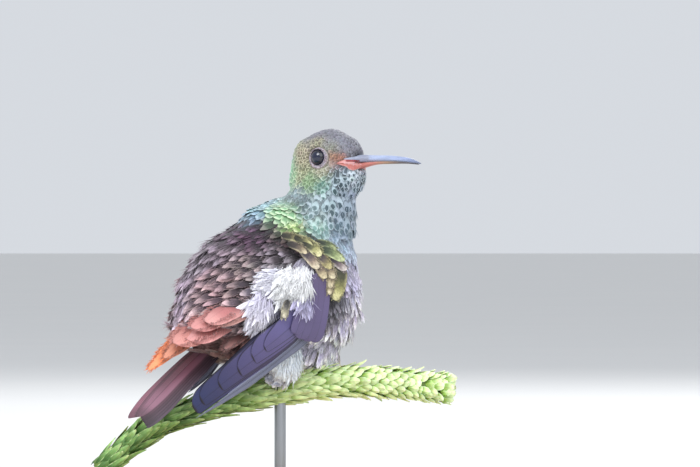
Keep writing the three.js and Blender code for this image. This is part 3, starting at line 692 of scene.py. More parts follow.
def coat_at(points, normals):
    """What the coat is like at some points of the skin: near landmarks count most."""
    reach_sum = np.zeros(len(points))
    numbers = np.zeros((len(points), len(COLUMNS)))
    colours = np.zeros((len(points), 6))
    flow = np.zeros((len(points), 3))
    away = unit(points - HEAD.out(BILL_ROOT))
    marks = [(HEAD, *mark) for mark in HEAD_MARKS.values()] + [(BODY, *mark) for mark in BODY_MARKS.values()]
    for place_frame, place, reach, *values, lie, tint, rim in marks:
        for side in SIDES.values():
            gap = np.linalg.norm(points - place_frame.out(on_side(place, side)), axis=1)
            weight = np.exp(-SHARPNESS * (gap / reach) ** 1.3 / 2) + 1e-12
            way = away if lie is None else unit(place_frame.turn(on_side(lie, side)))
            reach_sum += weight
            weight = weight[:, None]
            numbers += weight * np.array(values)
            colours += weight * np.concatenate([tone(tint), tone(rim)])
            flow += weight * way
    numbers /= reach_sum[:, None]
    colours /= reach_sum[:, None]
    coat = {key: numbers[:, index] for index, key in enumerate(COLUMNS)}
    coat["lift"] = np.radians(coat["lift"])
    coat["tint"], coat["rim"] = colours[:, :3], colours[:, 3:]
    coat["ahead"] = unit(flow - dot(flow, normals) * normals)
    return coat


def coat_depth(points):
    """How deep the skin lies in the coat: shallow on the face, deep on the body."""
    near_face = step_between(16, 4, np.linalg.norm(points - HEAD.out([13, 0, 95]), axis=1))
    head = step_between(84, 88, points[:, 2])
    return mix(mix(1.3, 0.6, head), 0.3, near_face * head)


# Where the skin stands out or in a little from the plain solids: frame, place, reach, rise.
SHAPING = [
    (HEAD, (2.9, 5.6, 95.2), 2.5, -0.75),  # the eye's hollow
    (HEAD, (12, 0, 77), 6.0, 0.9),
    (HEAD, (4, 0, 102.5), 5.0, 0.75),
    (HEAD, (12.6, 0, 100.4), 2.6, -0.9),
    (HEAD, (-8.6, 0, 99.6), 2.8, -0.8),
    (BODY, (2.5, 0, 84.5), 3.5, 0.8),
    (BODY, (-7.5, 0, 80.5), 3.5, -0.7),
    (BODY, (22, 0, 42), 5.0, -1.6),
    (HEAD, (11, 0, 83), 5.0, 0.7),
]


def make_skin():
    points, faces, edges = remeshed_flesh()
    points = smoothed(points, edges, SKIN_SMOOTHING)
    depth = coat_depth(points)
    for place_frame, place, reach, rise in SHAPING:
        local = place_frame.into(points)
        gaps = [np.linalg.norm(on_side(local, side) - place, axis=1) for side in SIDES.values()]
        gap = np.min(gaps, axis=0)
        depth = depth - rise * np.exp(-(gap / reach) ** 2)
    points = points - depth[:, None] * point_normals(points, faces)
    points = smoothed(points, edges, 2)
    normals = point_normals(points, faces)
    coat = coat_at(points, normals)
    piece = mesh_piece("skin", points, faces, [], skin_paint())
    spotted = (region_of(points) == THROAT_REGION)[:, None]
    add_field(piece.data, "tint", np.where(spotted, coat["rim"], coat["tint"]))
    add_field(piece.data, "rim", coat["rim"])
    bpy.context.view_layer.objects.active = piece
    piece.select_set(True)
    bpy.ops.object.mode_set(mode="EDIT")
    bpy.ops.mesh.select_all(action="SELECT")
    bpy.ops.uv.smart_project(angle_limit=math.radians(66), island_margin=0.004)
    bpy.ops.object.mode_set(mode="OBJECT")
    piece.select_set(False)
    piece.data.uv_layers[0].name = "OFBake"
    uv = array_of(piece.data.uv_layers[0].data, "uv", 2, np.float32)
    settle(piece, FLESH)
    return Skin(points, normals, faces, uv.reshape(-1, 4, 2))


def skin_paint():
    """Grey-based down that shows only in the gaps between feathers, darkened there as painted shade of the
    feathers over it.
    """
    paint = Paint("skin_down_painted_shade", Roughness=0.9, Sheen_Weight=0.2)
    fluff = paint.noise(2600.0, 4.0)
    colour = paint.mix(paint.band(fluff, 0.35, 0.7), paint.field("tint"), paint.field("rim"))
    # painted shade: the down takes the coat's colours at a third to two thirds of their brightness, for the
    # shade between the feathers
    dark = paint.scaled(colour, paint.band(fluff, 0.3, 0.75, 0.32, 0.7))
    return paint.finish(dark, fluff, 0.5, 0.0002)


class Skin:
    """The skin's own arrays, for sowing feathers on it."""

    def __init__(self, points, normals, faces, uv):
        self.points, self.normals, self.faces, self.uv = points, normals, faces, uv
        self.tree = surface_of(points, faces)

    def sow(self, count, wanted):
        """Random places on the skin, more of them where more are wanted."""
        tris = np.concatenate([self.faces[:, [0, 1, 2]], self.faces[:, [0, 2, 3]]])
        uv = np.concatenate([self.uv[:, [0, 1, 2]], self.uv[:, [0, 2, 3]]])
        a, b, c = (self.points[tris[:, corner]] for corner in range(3))
        area = np.linalg.norm(np.cross(b - a, c - a), axis=1) / 2
        chance = area * wanted((a + b + c) / 3)
        pick = rng.choice(len(tris), count, p=chance / chance.sum())
        one, two = rng.random((2, count))
        fold = one + two > 1
        one, two = np.where(fold, 1 - one, one), np.where(fold, 1 - two, two)
        share = np.stack([1 - one - two, one, two], axis=1)[..., None]
        return (np.sum(self.points[tris[pick]] * share, axis=1),
                unit(np.sum(self.normals[tris[pick]] * share, axis=1)),
                np.sum(uv[pick] * share, axis=1))

    def nearest(self, points):
        """The skin's nearest place to each point: point, normal and OFBake place."""
        found = [self.tree.find_nearest(Vector(p)) for p in np.atleast_2d(points)]
        index = np.array([hit[2] for hit in found])
        return (np.array([hit[0] for hit in found]), np.array([hit[1] for hit in found]),
                self.uv[index].mean(axis=1))


def thinned(points, normals, ahead, along, across):
    """Keeps places that are far enough apart, measured along and across the lie."""
    cell = 0.9 * float(np.percentile(np.maximum(along, across), 90))
    side = np.cross(normals, ahead)
    cells, kept = {}, []
    keys = np.floor(points / cell).astype(int)
    reach = 1 + int(float(np.maximum(along, across).max()) // cell)
    near = [(i, j, k) for i in range(-reach, reach + 1) for j in range(-reach, reach + 1)
            for k in range(-reach, reach + 1)]
    for index, key in enumerate(map(tuple, keys)):
        others = [o for i, j, k in near for o in cells.get((key[0] + i, key[1] + j, key[2] + k), ())]
        if others:
            gap = points[others] - points[index]
            far = ((gap @ ahead[index]) / along[index]) ** 2 + ((gap @ side[index]) / across[index]) ** 2
            far += ((gap @ normals[index]) / across[index]) ** 2
            if (far < 1).any():
                continue
        cells.setdefault(key, []).append(index)
        kept.append(index)
    return np.array(kept)


# ---- the coat -------------------------------------------------------------------

EYE_BARE = (4.0, 3.2, 3.5)
HEAD_REGION, THROAT_REGION, NECK_REGION, MANTLE_REGION, BREAST_REGION = range(5)
# Each region: its piece and slot, outline, spacing along and across, wisps (how many a
# feather, how pale, how far they fan out) and paint.
REGIONS = [
    ("head", "feathers_head", "scale", (0.43, 0.7), (0, 0.7, 0.5),
     dict(edge=0.3, barbs=6, barb_depth=0.08, Roughness=0.55, Sheen_Weight=0.15)),
    ("throat", "feathers_neck", "oval", (0.42, 0.66), (4, 1.0, 0.5),
     dict(spot=True, barbs=7, root_shade=0.8, barb_depth=0.2, shaft=0.0, Roughness=0.55, Sheen_Weight=0.2)),
    ("neck", "feathers_neck", "scale", (0.36, 0.62), (3, 0.7, 0.5),
     dict(edge=0.36, barbs=14, Roughness=0.5, Sheen_Weight=0.15)),
    ("mantle", "feathers_body", "plume", (0.5, 0.5), (9, 0.7, 0.24),
     dict(edge=0.5, side_rim=0.12, barbs=30, root_shade=0.22, barb_depth=0.22, shaft=0.25, mottle=0.2,
          Roughness=0.7, Sheen_Weight=0.25)),
    ("breast", "feathers_body", "oval", (0.34, 0.62), (7, 0.7, 0.5),
     dict(edge=0.45, barbs=24, mottle=0.3, root_shade=0.55, Roughness=0.8, Sheen_Weight=0.3)),
]
FEATHERS_TRIED = 90000
# How far round from the bill the spotted throat reaches, in degrees, at each height.
THROAT_REACH = [(77, 84), (78, 82), (82, 76), (86, 68), (89.4, 39), (91.5, 20), (92.6, 8)]
THROAT_LOW, THROAT_TOP = 76.0, 92.3


def region_of(points):
    local = BODY.into(points)
    u, v, z = local[:, 0], np.abs(local[:, 1]), points[:, 2]
    cape = 76.5 - 0.28 * (u - 6) + 0.1 * v
    is_front = u > 14 - 0.25 * (z - 50) + 0.35 * (18 - v) * (z < 50)
    region = np.where(z > 86.5, HEAD_REGION, np.where(z > np.maximum(cape, 70), NECK_REGION,
                      np.where(is_front | (z < 42), BREAST_REGION, MANTLE_REGION)))
    local = HEAD.into(points)
    turn = np.degrees(np.arctan2(np.abs(local[:, 1]), local[:, 0]))
    spotted = (turn < table_at(THROAT_REACH, z)) & (z > THROAT_LOW) & (z < THROAT_TOP)
    return np.where(spotted, THROAT_REGION, region)


def bare(points):
    """Places with no feathers: the eyes' rings and the corners of the mouth."""
    local = HEAD.into(points)
    local[:, 1] = np.abs(local[:, 1])
    eye = np.linalg.norm((local - np.add(EYE_PLACE, (1.3, 0, -0.35))) / EYE_BARE, axis=1) < 1
    along = local @ FACE_ALONG
    z = local[:, 2]
    mouth = (z > table_at(GAPE_LOW, along)) & (z < table_at(BARE_TOP, along))
    return eye | (mouth & (along > GAPE_LOW[0][0]) & (local[:, 0] > 6))


def sown(skin, count):
    """Feather roots over the whole skin, with the coat's values at each."""
    def wanted(centres):
        coat = coat_at(centres, np.zeros_like(centres) + [0, 0, 1])
        return 1 / (coat["length"] * coat["width"])
    points, normals, patch = skin.sow(count, wanted)
    keep = ~bare(points)
    points, normals, patch = points[keep], normals[keep], patch[keep]
    coat = coat_at(points, normals)
    region = region_of(points)
    chosen = []
    for index in np.unique(region):
        rows = np.flatnonzero(region == index)
        spacing = REGIONS[index][3]
        along, across = coat["length"][rows] * spacing[0], coat["width"][rows] * spacing[1]
        chosen.append(rows[thinned(points[rows], normals[rows], coat["ahead"][rows], along, across)])
    rows = np.concatenate(chosen)
    f = {key: value[rows] for key, value in coat.items()}
    f.update(root=points[rows], out=normals[rows], patch=patch[rows], region=region[rows])
    return f


def ruffled(f, turn=0.14, size=0.12, shade=0.12, hue=0.02):
    """Gives each feather a little of its own: its turn, size, lift and colour."""
    count = len(f["root"])
    side = np.cross(f["out"], f["ahead"])
    swing = rng.normal(0, turn, count)[:, None]
    f["ahead"] = unit(f["ahead"] * np.cos(swing) + side * np.sin(swing))
    f["length"] = f["length"] * (1 + rng.normal(0, size, count))
    f["width"] = f["width"] * (1 + rng.normal(0, size, count))
    f["lift"] = f["lift"] + rng.normal(0, 0.06, count)
    f["curl"] = f["lift"] * 1.1 + rng.normal(0, 0.05, count)
    f["skew"] = rng.normal(0, 0.05, count)
    f["chance"] = rng.random(count)
    light = np.exp(rng.normal(0, shade, (count, 1)) + rng.normal(0, hue, (count, 3)))
    f["tint"], f["rim"] = f["tint"] * light, f["rim"] * light
    return f


def rows_of(f, keep):
    return {key: value[keep] for key, value in f.items()}


def wisps(f, each, pale, fan_out):
    """Loose barbs that fan out of the end of each feather of f."""
    count = len(f["root"]) * each
    f = {key: np.repeat(value, each, axis=0) for key, value in f.items()}
    side = np.cross(f["out"], f["ahead"])
    fan = rng.uniform(-1, 1, count)
    start = rng.uniform(0.25, 0.6, count)
    angle = (f["lift"] * 0.7)[:, None]
    on = (f["length"] * start)[:, None] * (np.cos(angle) * f["ahead"] + np.sin(angle) * f["out"])
    return {
        "root": f["root"] + on + side * (fan * f["width"] * 0.3)[:, None], "out": f["out"],
        "ahead": unit(f["ahead"] + side * (fan * fan_out + rng.normal(0, 0.08, count))[:, None]),
        "length": f["length"] * rng.uniform(0.55, 1.15, count) * (1.15 - start) * 0.9,
        "lift": f["lift"] * 0.4 + rng.normal(0, 0.12, count),
        "curl": rng.normal(0.25, 0.25, count), "skew": rng.normal(0, 0.1, count),
        "width": rng.uniform(0.1, 0.2, count), "chance": rng.random(count),
        "tint": mix(f["tint"], f["rim"], pale), "rim": f["rim"], "patch": f["patch"],
    }


def make_coat(skin):
    f = ruffled(sown(skin, FEATHERS_TRIED))
    f["lift"] = np.where(f["region"] == THROAT_REGION, f["lift"] * 0.85, f["lift"])
    for index, (part, slot, outline, _, (each, pale, fan_out), looks) in enumerate(REGIONS):
        rows = rows_of(f, f["region"] == index)
        batch = Batch()
        add_vanes(batch, rows, OUTLINES[outline])
        wispy = np.maximum(rows["loose"], index == THROAT_REGION)
        loose = rows_of(rows, rng.random(len(rows["root"])) < wispy)
        if each:
            add_strands(batch, wisps(loose, each, pale, fan_out))
        batch.build("coat_" + part, feather_paint(f"feathers_{part}_paint", **looks), slot)


TUFT_GIRTH, TUFT_TURN, TUFT_LIFT = 0.26, 0.26, 0.42
PLUME_EVERY, PLUME_SHARE = 5, 4.2  # which strands also carry a broad plume, and its width


def tuft(skin, centre, reach, ahead, count, length, rise, tint, rim):
    """Rows for a tuft of loose down rooted round one place (world, mm)."""
    root, out, patch = skin.nearest(centre + rng.normal(0, 1, (count, 3)) * reach)
    lie = unit(ahead + rng.normal(0, TUFT_TURN, (count, 3)))
    lie = unit(lie - dot(lie, out) * out)
    light = np.exp(rng.normal(0, 0.06, count))[:, None]
    return {
        "root": root + out * rng.uniform(*rise, count)[:, None], "out": out, "patch": patch,
        "ahead": lie, "length": length * rng.uniform(0.5, 1.15, count),
        "width": TUFT_GIRTH * rng.uniform(0.7, 1.5, count),
        "lift": TUFT_LIFT + rng.normal(0, 0.2, count), "curl": rng.normal(0.75, 0.3, count),
        "skew": rng.normal(0, 0.12, count), "chance": rng.random(count),
        "tint": tone(tint) * light, "rim": tone(rim) * light,
    }


# Tufts of down on both flanks and legs: place (u, v, z), reach, lie, count, length, how
# far off the skin they are rooted, colour and rim.
TUFTS = {
    "puff_white": ((-4.2, 18.7, 61.4), (1.4, 1, 1.4), (-0.4, 0.1, -1),
         2800, 6.6, (1.2, 2.4), "fffdff", "ffffff"),
    "puff_over": ((-0.9, 18.7, 61.6), (1.2, 1, 1.1), (-0.3, 0.1, -1),
         1700, 6.4, (2.9, 3.6), "fffdff", "ffffff"),
    "puff_back": ((-7.2, 17.2, 61.2), (1.7, 1, 1), (-1, 0, -0.35), 800, 5.6, (0.5, 1), "cfccdc", "f4f2fa"),
    "puff_low": ((-11.4, 16.5, 54.8), (1.6, 1, 1.5), (-0.35, 0, -1),
         1600, 6.8, (0.8, 1.6), "dcd6ea", "f4f0fb"),
    "puff_fore": ((2, 18.5, 66), (1.5, 1, 0.7), (-0.6, 0, -1), 420, 4.5, (0.8, 1.6), "a9a2b4", "d4cede"),
    "puff_lilac": ((-0.7, 19, 56.2), (0.7, 0.7, 0.8), (-0.25, 0.1, -1),
         600, 5.2, (3, 3.6), "9f97bd", "c6c0de"),
    "leg": ((0, 9, 40), (2.2, 1.5, 1.5), (-0.1, 0, -1), 2800, 4.4, (0.6, 1.2), "eef6ff", "f6fbff"),
}


def make_tufts(skin):
    paint = feather_paint("down_paint", edge=0.6, root_shade=0.95, shaft=0.0, barb_depth=0.03,
                          Roughness=0.95, Sheen_Weight=0.4)
    for name, (place, reach, lie, *rest) in TUFTS.items():
        for side_name, side in SIDES.items():
            centre, ahead = BODY.out(on_side(place, side)), BODY.turn(on_side(lie, side))
            f = tuft(skin, centre, BODY.turn(reach), ahead, *rest)
            batch = Batch()
            add_strands(batch, f, 0.3)
            broad = rows_of(f, slice(None, None, PLUME_EVERY))
            broad["width"] = broad["width"] * PLUME_SHARE
            broad["lift"], broad["curl"] = broad["lift"] * 0.6, broad["curl"] * 0.7
            add_vanes(batch, broad, OUTLINES["plume"])
            batch.build(f"{name}_{side_name}", paint, "down")


# ---- the wings and the feathers over them --------------------------------------------

WING_EDGE = [(14.1, 69), (13.1, 60), (9.4, 52), (3.9, 44.5), (-2.9, 38.5), (-13.7, 31.5), (-27.4, 23.2)]
EDGE_LINE = smooth_line(WING_EDGE, 240)
EDGE_AHEAD = unit(np.gradient(EDGE_LINE, axis=0))
SHOULDER_SIDE = [(62, 18.9), (69, 16.2), (73, 13.8), (77, 11.5)]
FLANK_LINES = {
    RIGHT: smooth_line([(24, 8), (33, 11.2), (41, 15.4), (48, 18.6), (55, 19.5)] + SHOULDER_SIDE, 90),
    LEFT: smooth_line([(24, 2.2), (30, 7), (37, 14), (43, 17.4), (50, 19.2)] + SHOULDER_SIDE, 90),
}
LEFT_WING_LIFT = 0.08


def flank_point(u, z, layer, side):
    """A place a layer off the flank, by its (u, z). The left wing is folded higher."""
    knots = FLANK_LINES[side]
    v = side * (np.interp(z, knots[:, 0], knots[:, 1]) + layer)
    if side == LEFT:
        wrist_u, wrist_z = WING_EDGE[0]
        back, down = u - wrist_u, z - wrist_z
        u = wrist_u + back * math.cos(LEFT_WING_LIFT) + down * math.sin(LEFT_WING_LIFT)
        z = wrist_z - back * math.sin(LEFT_WING_LIFT) + down * math.cos(LEFT_WING_LIFT)
    return BODY.out(np.stack([u, v, z], axis=-1))


def wing_place(share, inset):
    """(u, z) of a place on the folded wing, inset from its leading edge."""
    places = np.linspace(0, 1, len(EDGE_LINE))
    inward = read_at(share, places, EDGE_AHEAD[:, ::-1] * (1, -1))
    return read_at(share, places, EDGE_LINE) + inward * np.reshape(inset, (-1, 1))


def flank_feather(batch, side, line, low, high, layer, shares, tint, rim, patch, droop=0.03, **shape):
    """A feather that lies on the flank along a line of (u, z) places."""
    ahead = unit(np.gradient(line, axis=0))
    across = np.stack([-ahead[:, 1], ahead[:, 0]], axis=1) * side
    t = BLADE_ACROSS
    reach = np.where(t * side < 0, high[:, None], low[:, None]) * t
    place = line[:, None] + across[:, None] * reach[..., None]
    layers = layer - droop * np.abs(reach * t)
    sheet = flank_point(place[..., 0], place[..., 1], layers, side)
    add_sheet(batch, sheet, BODY.turn([0, side, 0]), shares, tint, rim, patch, **shape)


BUNDLE_LOW = [(0.25, 0.5), (0.58, 1.0), (0.72, -0.3), (0.88, -0.3), (1.0, 0.1)]
BUNDLE_HIGH = [(0.25, 5.2), (0.495, 4.0), (0.62, 2.7), (0.74, 2.0), (0.86, 1.4), (1.0, 0.9)]
BUNDLE_ENDS = [1.0, 0.985, 0.955, 0.915, 0.875, 0.835]
# The broad inner feathers: the share at which each ends, and its insets there.
PANELS = [(0.995, 0.5, 6.8), (0.955, 1.7, 7.4), (0.86, 2.7, 8.7), (0.764, 3.5, 9.8),
          (0.693, 4.9, 11.4), (0.632, 6.4, 10.8)]
PANEL_SPREAD, PANEL_START, PANEL_ROOT = 17, 0.28, 4.3
# How much of its length each wing shows, and its widest inset.
WING_SHOWN = {RIGHT: (1.0, 12.8), LEFT: (0.88, 6.5)}


def add_primaries(batch, side):
    count = len(BUNDLE_ENDS) + len(PANELS)
    rows = feather_shares(26)
    folded, widest = WING_SHOWN[side]
    for index, end in enumerate(BUNDLE_ENDS):
        end = end * folded
        share = mix(PANEL_START, end, rows)
        low, high = table_at(BUNDLE_LOW, share), table_at(BUNDLE_HIGH, share)
        rank = (index + 0.5) / len(BUNDLE_ENDS)
        half = (high - low) / len(BUNDLE_ENDS) * 0.72 * rounded(rows, 0.93, 1.6)
        tint = mix(tone("50505e"), tone("9ea4c0"), rng.random())
        flank_feather(batch, side, wing_place(share, mix(low, high, rank)), half, half,
                      0.1 + 0.05 * index, rows, tint, tint * 1.9, patch_cell(index, count),
                      thick=0.34, rachis=0.12)
    for index, (end, low_end, high_end) in enumerate(PANELS):
        end = end * folded
        share = mix(PANEL_START, end, rows)
        back = (end - share) / (end - PANEL_START)
        low = mix(low_end, PANEL_ROOT + 0.3 * index, back)
        high = np.minimum(high_end + PANEL_SPREAD * (end - share), widest)
        low_side = 0.38 * (high - low) * rounded(rows, 0.965, 3.0, 0.6)
        high_side = 0.62 * (high - low) * rounded(rows, 1 - 0.12 / (end - PANEL_START) * 0.6, 2.4, 0.6)
        violet = mix(tone("5f5788"), tone("27315f"), step_between(0.5, 1.0, share)[:, None])
        tint = violet * math.exp(rng.normal(0, 0.05))
        tint = mix(tint, tone("1d1c2a"), step_between(0.984, 0.994, rows)[:, None])
        line = wing_place(share, low + 0.38 * (high - low))
        flank_feather(batch, side, line, low_side, high_side, 0.42 + 0.22 * index, rows,
                      tint, tone("1d1c2a"), patch_cell(len(BUNDLE_ENDS) + index, count),
                      thick=0.15, rachis=0.08)


# The inner flight feathers that hang over the wing's middle: root and tip (u, z), half width.
SLAB = [((5.2, 63.5), (3.4, 44.0), 2.2), ((3.4, 63.5), (1.0, 44.3), 2.5),
        ((1.8, 63), (-1.3, 45.0), 2.5), ((0.4, 62), (-3.2, 46.4), 2.2)]
SLAB_LAYER = 1.9


def add_secondaries(batch, side):
    rows = feather_shares(20)
    for index, (root, tip, half) in enumerate(SLAB):
        line = curve([root, np.mean([root, tip], axis=0) + [0.25, 0], tip], rows)
        wide = half * rounded(rows, 0.86, 2.6, 0.7)
        tint = mix(tone("635578"), tone("5a4f78"), rows[:, None]) * math.exp(rng.normal(0, 0.05))
        flank_feather(batch, side, line, wide, wide, SLAB_LAYER + 0.16 * index, rows, tint,
                      tint * 0.75, patch_cell(index, len(SLAB)), thick=0.15, rachis=0.05)


# Feathers over the wrist and the shoulder: places (u, z) along each, half width, layer,
# colour at the root, at the tip and at the rim. The dark root colours are partly the
# coverts' own darker bases and partly painted shade where they overlap.
COVERTS = [
    ([(11.4, 66.5), (10.2, 61), (8.5, 55.6)], 2.2, 2.0, "525235", "a5a05f", "c9c18d"),
    ([(7.8, 66), (7.4, 62), (6.9, 59)], 1.3, 2.3, "4f4349", "a2906c", "cec09e"),
    ([(7.6, 63), (7.2, 60), (6.6, 57.2)], 1.2, 2.2, "4f4349", "a2906c", "cec09e"),
    ([(2.6, 68), (4.2, 65.4), (5.6, 61.6)], 1.7, 2.5, "4f3f49", "a08d6c", "caba96"),
    ([(5.4, 67), (7.0, 64.6), (8.2, 61.6)], 1.6, 2.6, "50434a", "a59371", "cec1a0"),
    ([(7.6, 68), (10.0, 66.2), (12.4, 64)], 1.5, 2.5, "4c3f48", "978583", "c9bdb6"),
    ([(-1.0, 70), (1.6, 67.8), (3.8, 64.4)], 1.8, 2.8, "574952", "a79079", "d1c2a7"),
    ([(3.2, 69.2), (5.6, 67.2), (7.7, 64.4)], 1.6, 2.8, "55464f", "8c8150", "bdb07d"),
    ([(3.4, 70), (7.8, 69.2), (12.2, 66.6)], 1.5, 2.9, "46563d", "98a46c", "bdc693"),
    ([(0.2, 71.6), (3.0, 70.6), (5.2, 68)], 1.9, 3.1, "5d5e3d", "c3bd7c", "dbd4a0"),
    ([(-2.0, 72.8), (1.0, 72.2), (3.2, 70.6)], 1.3, 3.1, "5a5a3d", "b4ad72", "d1cb96"),
    ([(4.2, 71.6), (7.6, 71), (10.4, 69.6)], 1.2, 2.7, "384331", "87935f", "b2ba86"),
    ([(-5.6, 73.4), (-2.4, 73.2), (0.4, 71.9)], 1.2, 2.9, "504b36", "a09865", "c9c08f"),
    ([(-4.6, 71.2), (-1.6, 70.6), (1.0, 68.6)], 1.3, 2.9, "504440", "928065", "c0b191"),
    ([(-6.2, 56), (-6.9, 53.4), (-7.3, 50.8)], 1.2, 2.6, "6a6662", "bfb696", "dad0b8"),
]


def add_coverts(batch, side):
    rows = feather_shares(16)
    for index, (knots, half, layer, root, tip, rim) in enumerate(COVERTS):
        line = curve(knots, rows)
        wide = half * rounded(rows, 0.62, 2.2, 0.6)
        tint = mix(tone(root), tone(tip), step_between(0.35, 0.9, rows)[:, None])
        cell = patch_cell(index, len(COVERTS))
        flank_feather(batch, side, line, wide, wide, layer, rows, tint, tone(rim), cell,
                      droop=0.16, thick=0.16, rachis=0.06)
        place = flank_point(line[:, 0], line[:, 1], layer - 0.1, side)
        pale = mix(tone(tip), tone(rim), 0.5)
        add_strands(batch, fringe(place, BODY.turn([0, side, 0]), wide, rows, pale, cell, 70, 1.0, 0.3, 0.12))


def make_wings():
    flight = feather_paint("flight_feathers", edge=0.012, side_rim=0.13, barbs=70, root_shade=0.8,
                           barb_depth=0.06, shaft=0.25, Roughness=0.42, Sheen_Weight=0.1)
    vane = feather_paint("covert_feathers", edge=0.35, barbs=18, root_shade=0.12, painted_shade_to=0.75,
                         barb_depth=0.2, mottle=0.35, Roughness=0.6, Sheen_Weight=0.2)
    parts = [("primaries", add_primaries, flight, "wing_feathers"),
             ("secondaries", add_secondaries, flight, "wing_feathers"),
             ("coverts", add_coverts, vane, "wing_coverts")]
    for side_name, side in SIDES.items():
        for part, add, paint, slot in parts:
            batch = Batch()
            add(batch, side)
            batch.build(f"{part}_{side_name}", paint, slot, [f"wing_{side_name}_{part}"])


# ---- the tail ----------------------------------------------------------------------

TAIL_ROOT, TAIL_TIP, TAIL_ROLL = np.array([-15, 0, 47.0]), np.array([-41.6, 0, 23.0]), -0.42
TAIL_RANKS = 5
TAIL_TINTS = mix(tone("4a3a46"), tone("a26578"), np.linspace(0, 1, 2 * TAIL_RANKS + 1)[:, None] ** 1.7)


def make_tail():
    axis = unit(TAIL_TIP - TAIL_ROOT)
    across = np.array([0, 1, 0.0])
    level = across * math.cos(TAIL_ROLL) + np.cross(axis, across) * math.sin(TAIL_ROLL)
    upward = np.cross(level, axis)
    rows = feather_shares(24)
    batch = Batch()
    for index in range(-TAIL_RANKS, TAIL_RANKS + 1):
        rank, shift = abs(index), 0.6 * index
        end = TAIL_TIP + level * 1.35 * shift - upward * 0.24 * rank + axis * (0.3 * rank - 1.2)
        start = TAIL_ROOT + level * 0.8 * shift - upward * 0.24 * rank
        line = curve([start, (start + end) / 2 + upward * 0.6, end], rows)
        half = 2.6 * rounded(rows, 0.74, 1.5, 0.55)
        tint = TAIL_TINTS[index + TAIL_RANKS] * math.exp(rng.normal(0, 0.28))
        add_blade(batch, BODY.out(line), BODY.turn(upward), half, rows, tint, tint * 0.5,
                  patch_cell(index + TAIL_RANKS, 2 * TAIL_RANKS + 1), 0.05, thick=0.16, rachis=0.16)
    paint = feather_paint("tail_feathers", edge=0.14, barbs=60, root_shade=0.85, barb_depth=0.1,
                          shaft=0.35, Roughness=0.45, Sheen_Weight=0.15)
    batch.build("tail_feathers", paint, "tail_feathers", ["tail"])


# Soft feathers over the tail's root: root and tip (u, v, z), half width, layer, how
# pointed, colours at the root, the tip and the rim.
TAIL_COVERTS = [
    ((-20, 4.5, 50), (-37.0, 0.5, 37.4), 2.9, 0.0, 1.4, "8d4429", "c5683a", "ea8d61"),
    ((-20, 1.5, 50), (-39.2, -2.6, 36.4), 3.3, 0.3, 1.3, "964122", "d66f37", "fb9a67"),
    ((-19, -0.5, 50), (-35.0, -4.0, 39.4), 3.6, 0.7, 1.8, "8e4938", "bb6c50", "db9174"),
    ((-18, -4, 50.5), (-33.0, -7.8, 42.2), 6.0, 2.3, 2.6, "884744", "b26b62", "d39086"),
    ((-16, -6.5, 51), (-29.5, -9.2, 43.0), 5.8, 2.5, 2.8, "8b4a48", "b86d69", "d69590"),
    ((-15, -8.5, 53), (-28.5, -9.5, 46.2), 4.8, 2.7, 2.8, "804744", "b46b67", "d38f8a"),
    ((-13, -11, 54.5), (-25.5, -12.0, 47.6), 4.6, 3.1, 2.8, "7d4948", "b6706e", "d59791"),
    ((-11, -12, 53), (-22.5, -13.4, 47.2), 3.6, 2.8, 2.8, "804e4a", "ac7069", "d19f95"),
    ((-10, -9, 48), (-20.5, -12.4, 41.5), 2.6, 1.2, 2.2, "4e2e2e", "6a413e", "976b65"),
    ((-6, -11, 48), (-15.5, -14.6, 41.5), 2.2, 1.2, 2.2, "4c2c2e", "643d3d", "91665f"),
    ((-14, 9, 52), (-27.0, 8.5, 45), 3.6, 1.2, 2.4, "87524c", "be796e", "dba99e"),
    ((-16, 5, 50), (-31.5, 4.5, 41), 3.8, 0.6, 2.2, "8e4c46", "c37663", "da9f8e"),
]


def make_tail_coverts():
    rows = feather_shares(18)
    batch = Batch()
    for index, (root, tip, half, layer, power, dark, light, rim) in enumerate(TAIL_COVERTS):
        facing = unit(np.array([-0.5, 0.48 * (1 if root[1] > 4.6 else -1), 0.73]))
        start, end = np.array(root) + facing * layer * 0.5, np.array(tip) + facing * layer
        line = BODY.out(curve([start, (start + end) / 2 + facing, end], rows))
        wide = half * rounded(rows, 0.45, power, 0.7)
        tint = mix(tone(dark), tone(light), step_between(0.1, 0.6, rows)[:, None])
        out, cell = BODY.turn(facing), patch_cell(index, len(TAIL_COVERTS))
        add_blade(batch, line, out, wide, rows, tint, tone(rim), cell, 0.22, thick=0.2, rachis=0.05)
        pale = mix(tone(light), tone(rim), 0.6)
        add_strands(batch, fringe(line, out, wide, rows, pale, cell, 120, 1.6))
    paint = feather_paint("tail_covert_feathers", edge=0.4, barbs=26, root_shade=0.6, barb_depth=0.12,
                          shaft=0.08, Roughness=0.65, Sheen_Weight=0.3)
    batch.build("tail_covert_vanes", paint, "tail_covert_feathers", ["tail_coverts"])


# ---- eyes, lids and bill -------------------------------------------------------------

EYE_PLACE, EYE_SUNK, EYE_TURN = (2.6, 5.45, 95.2), 0.45, 0.1
EYE_HALF = (2.3, 2.25, 2.3)  # along the head, outwards, upwards
LID_OPENING, LID_OUTER, LID_SHIFT = (2.1, 2.16), (3.4, 3.1), (0.6, -0.3)
# A section of the lid: the share of the way from the opening outwards, and its height.
LID_SECTION = [(-0.05, -0.4), (0.0, -0.02), (0.14, 0.2), (0.36, 0.34), (0.6, 0.34), (0.82, 0.22),
               (1.05, -0.25), (0.8, -0.55), (0.3, -0.7)]


LID_RAY = 12  # how far out the rays that find the skin under a lid's rim start


def round_the_eye(count, side):
    return np.linspace(0, 2 * math.pi, count, endpoint=False) * side


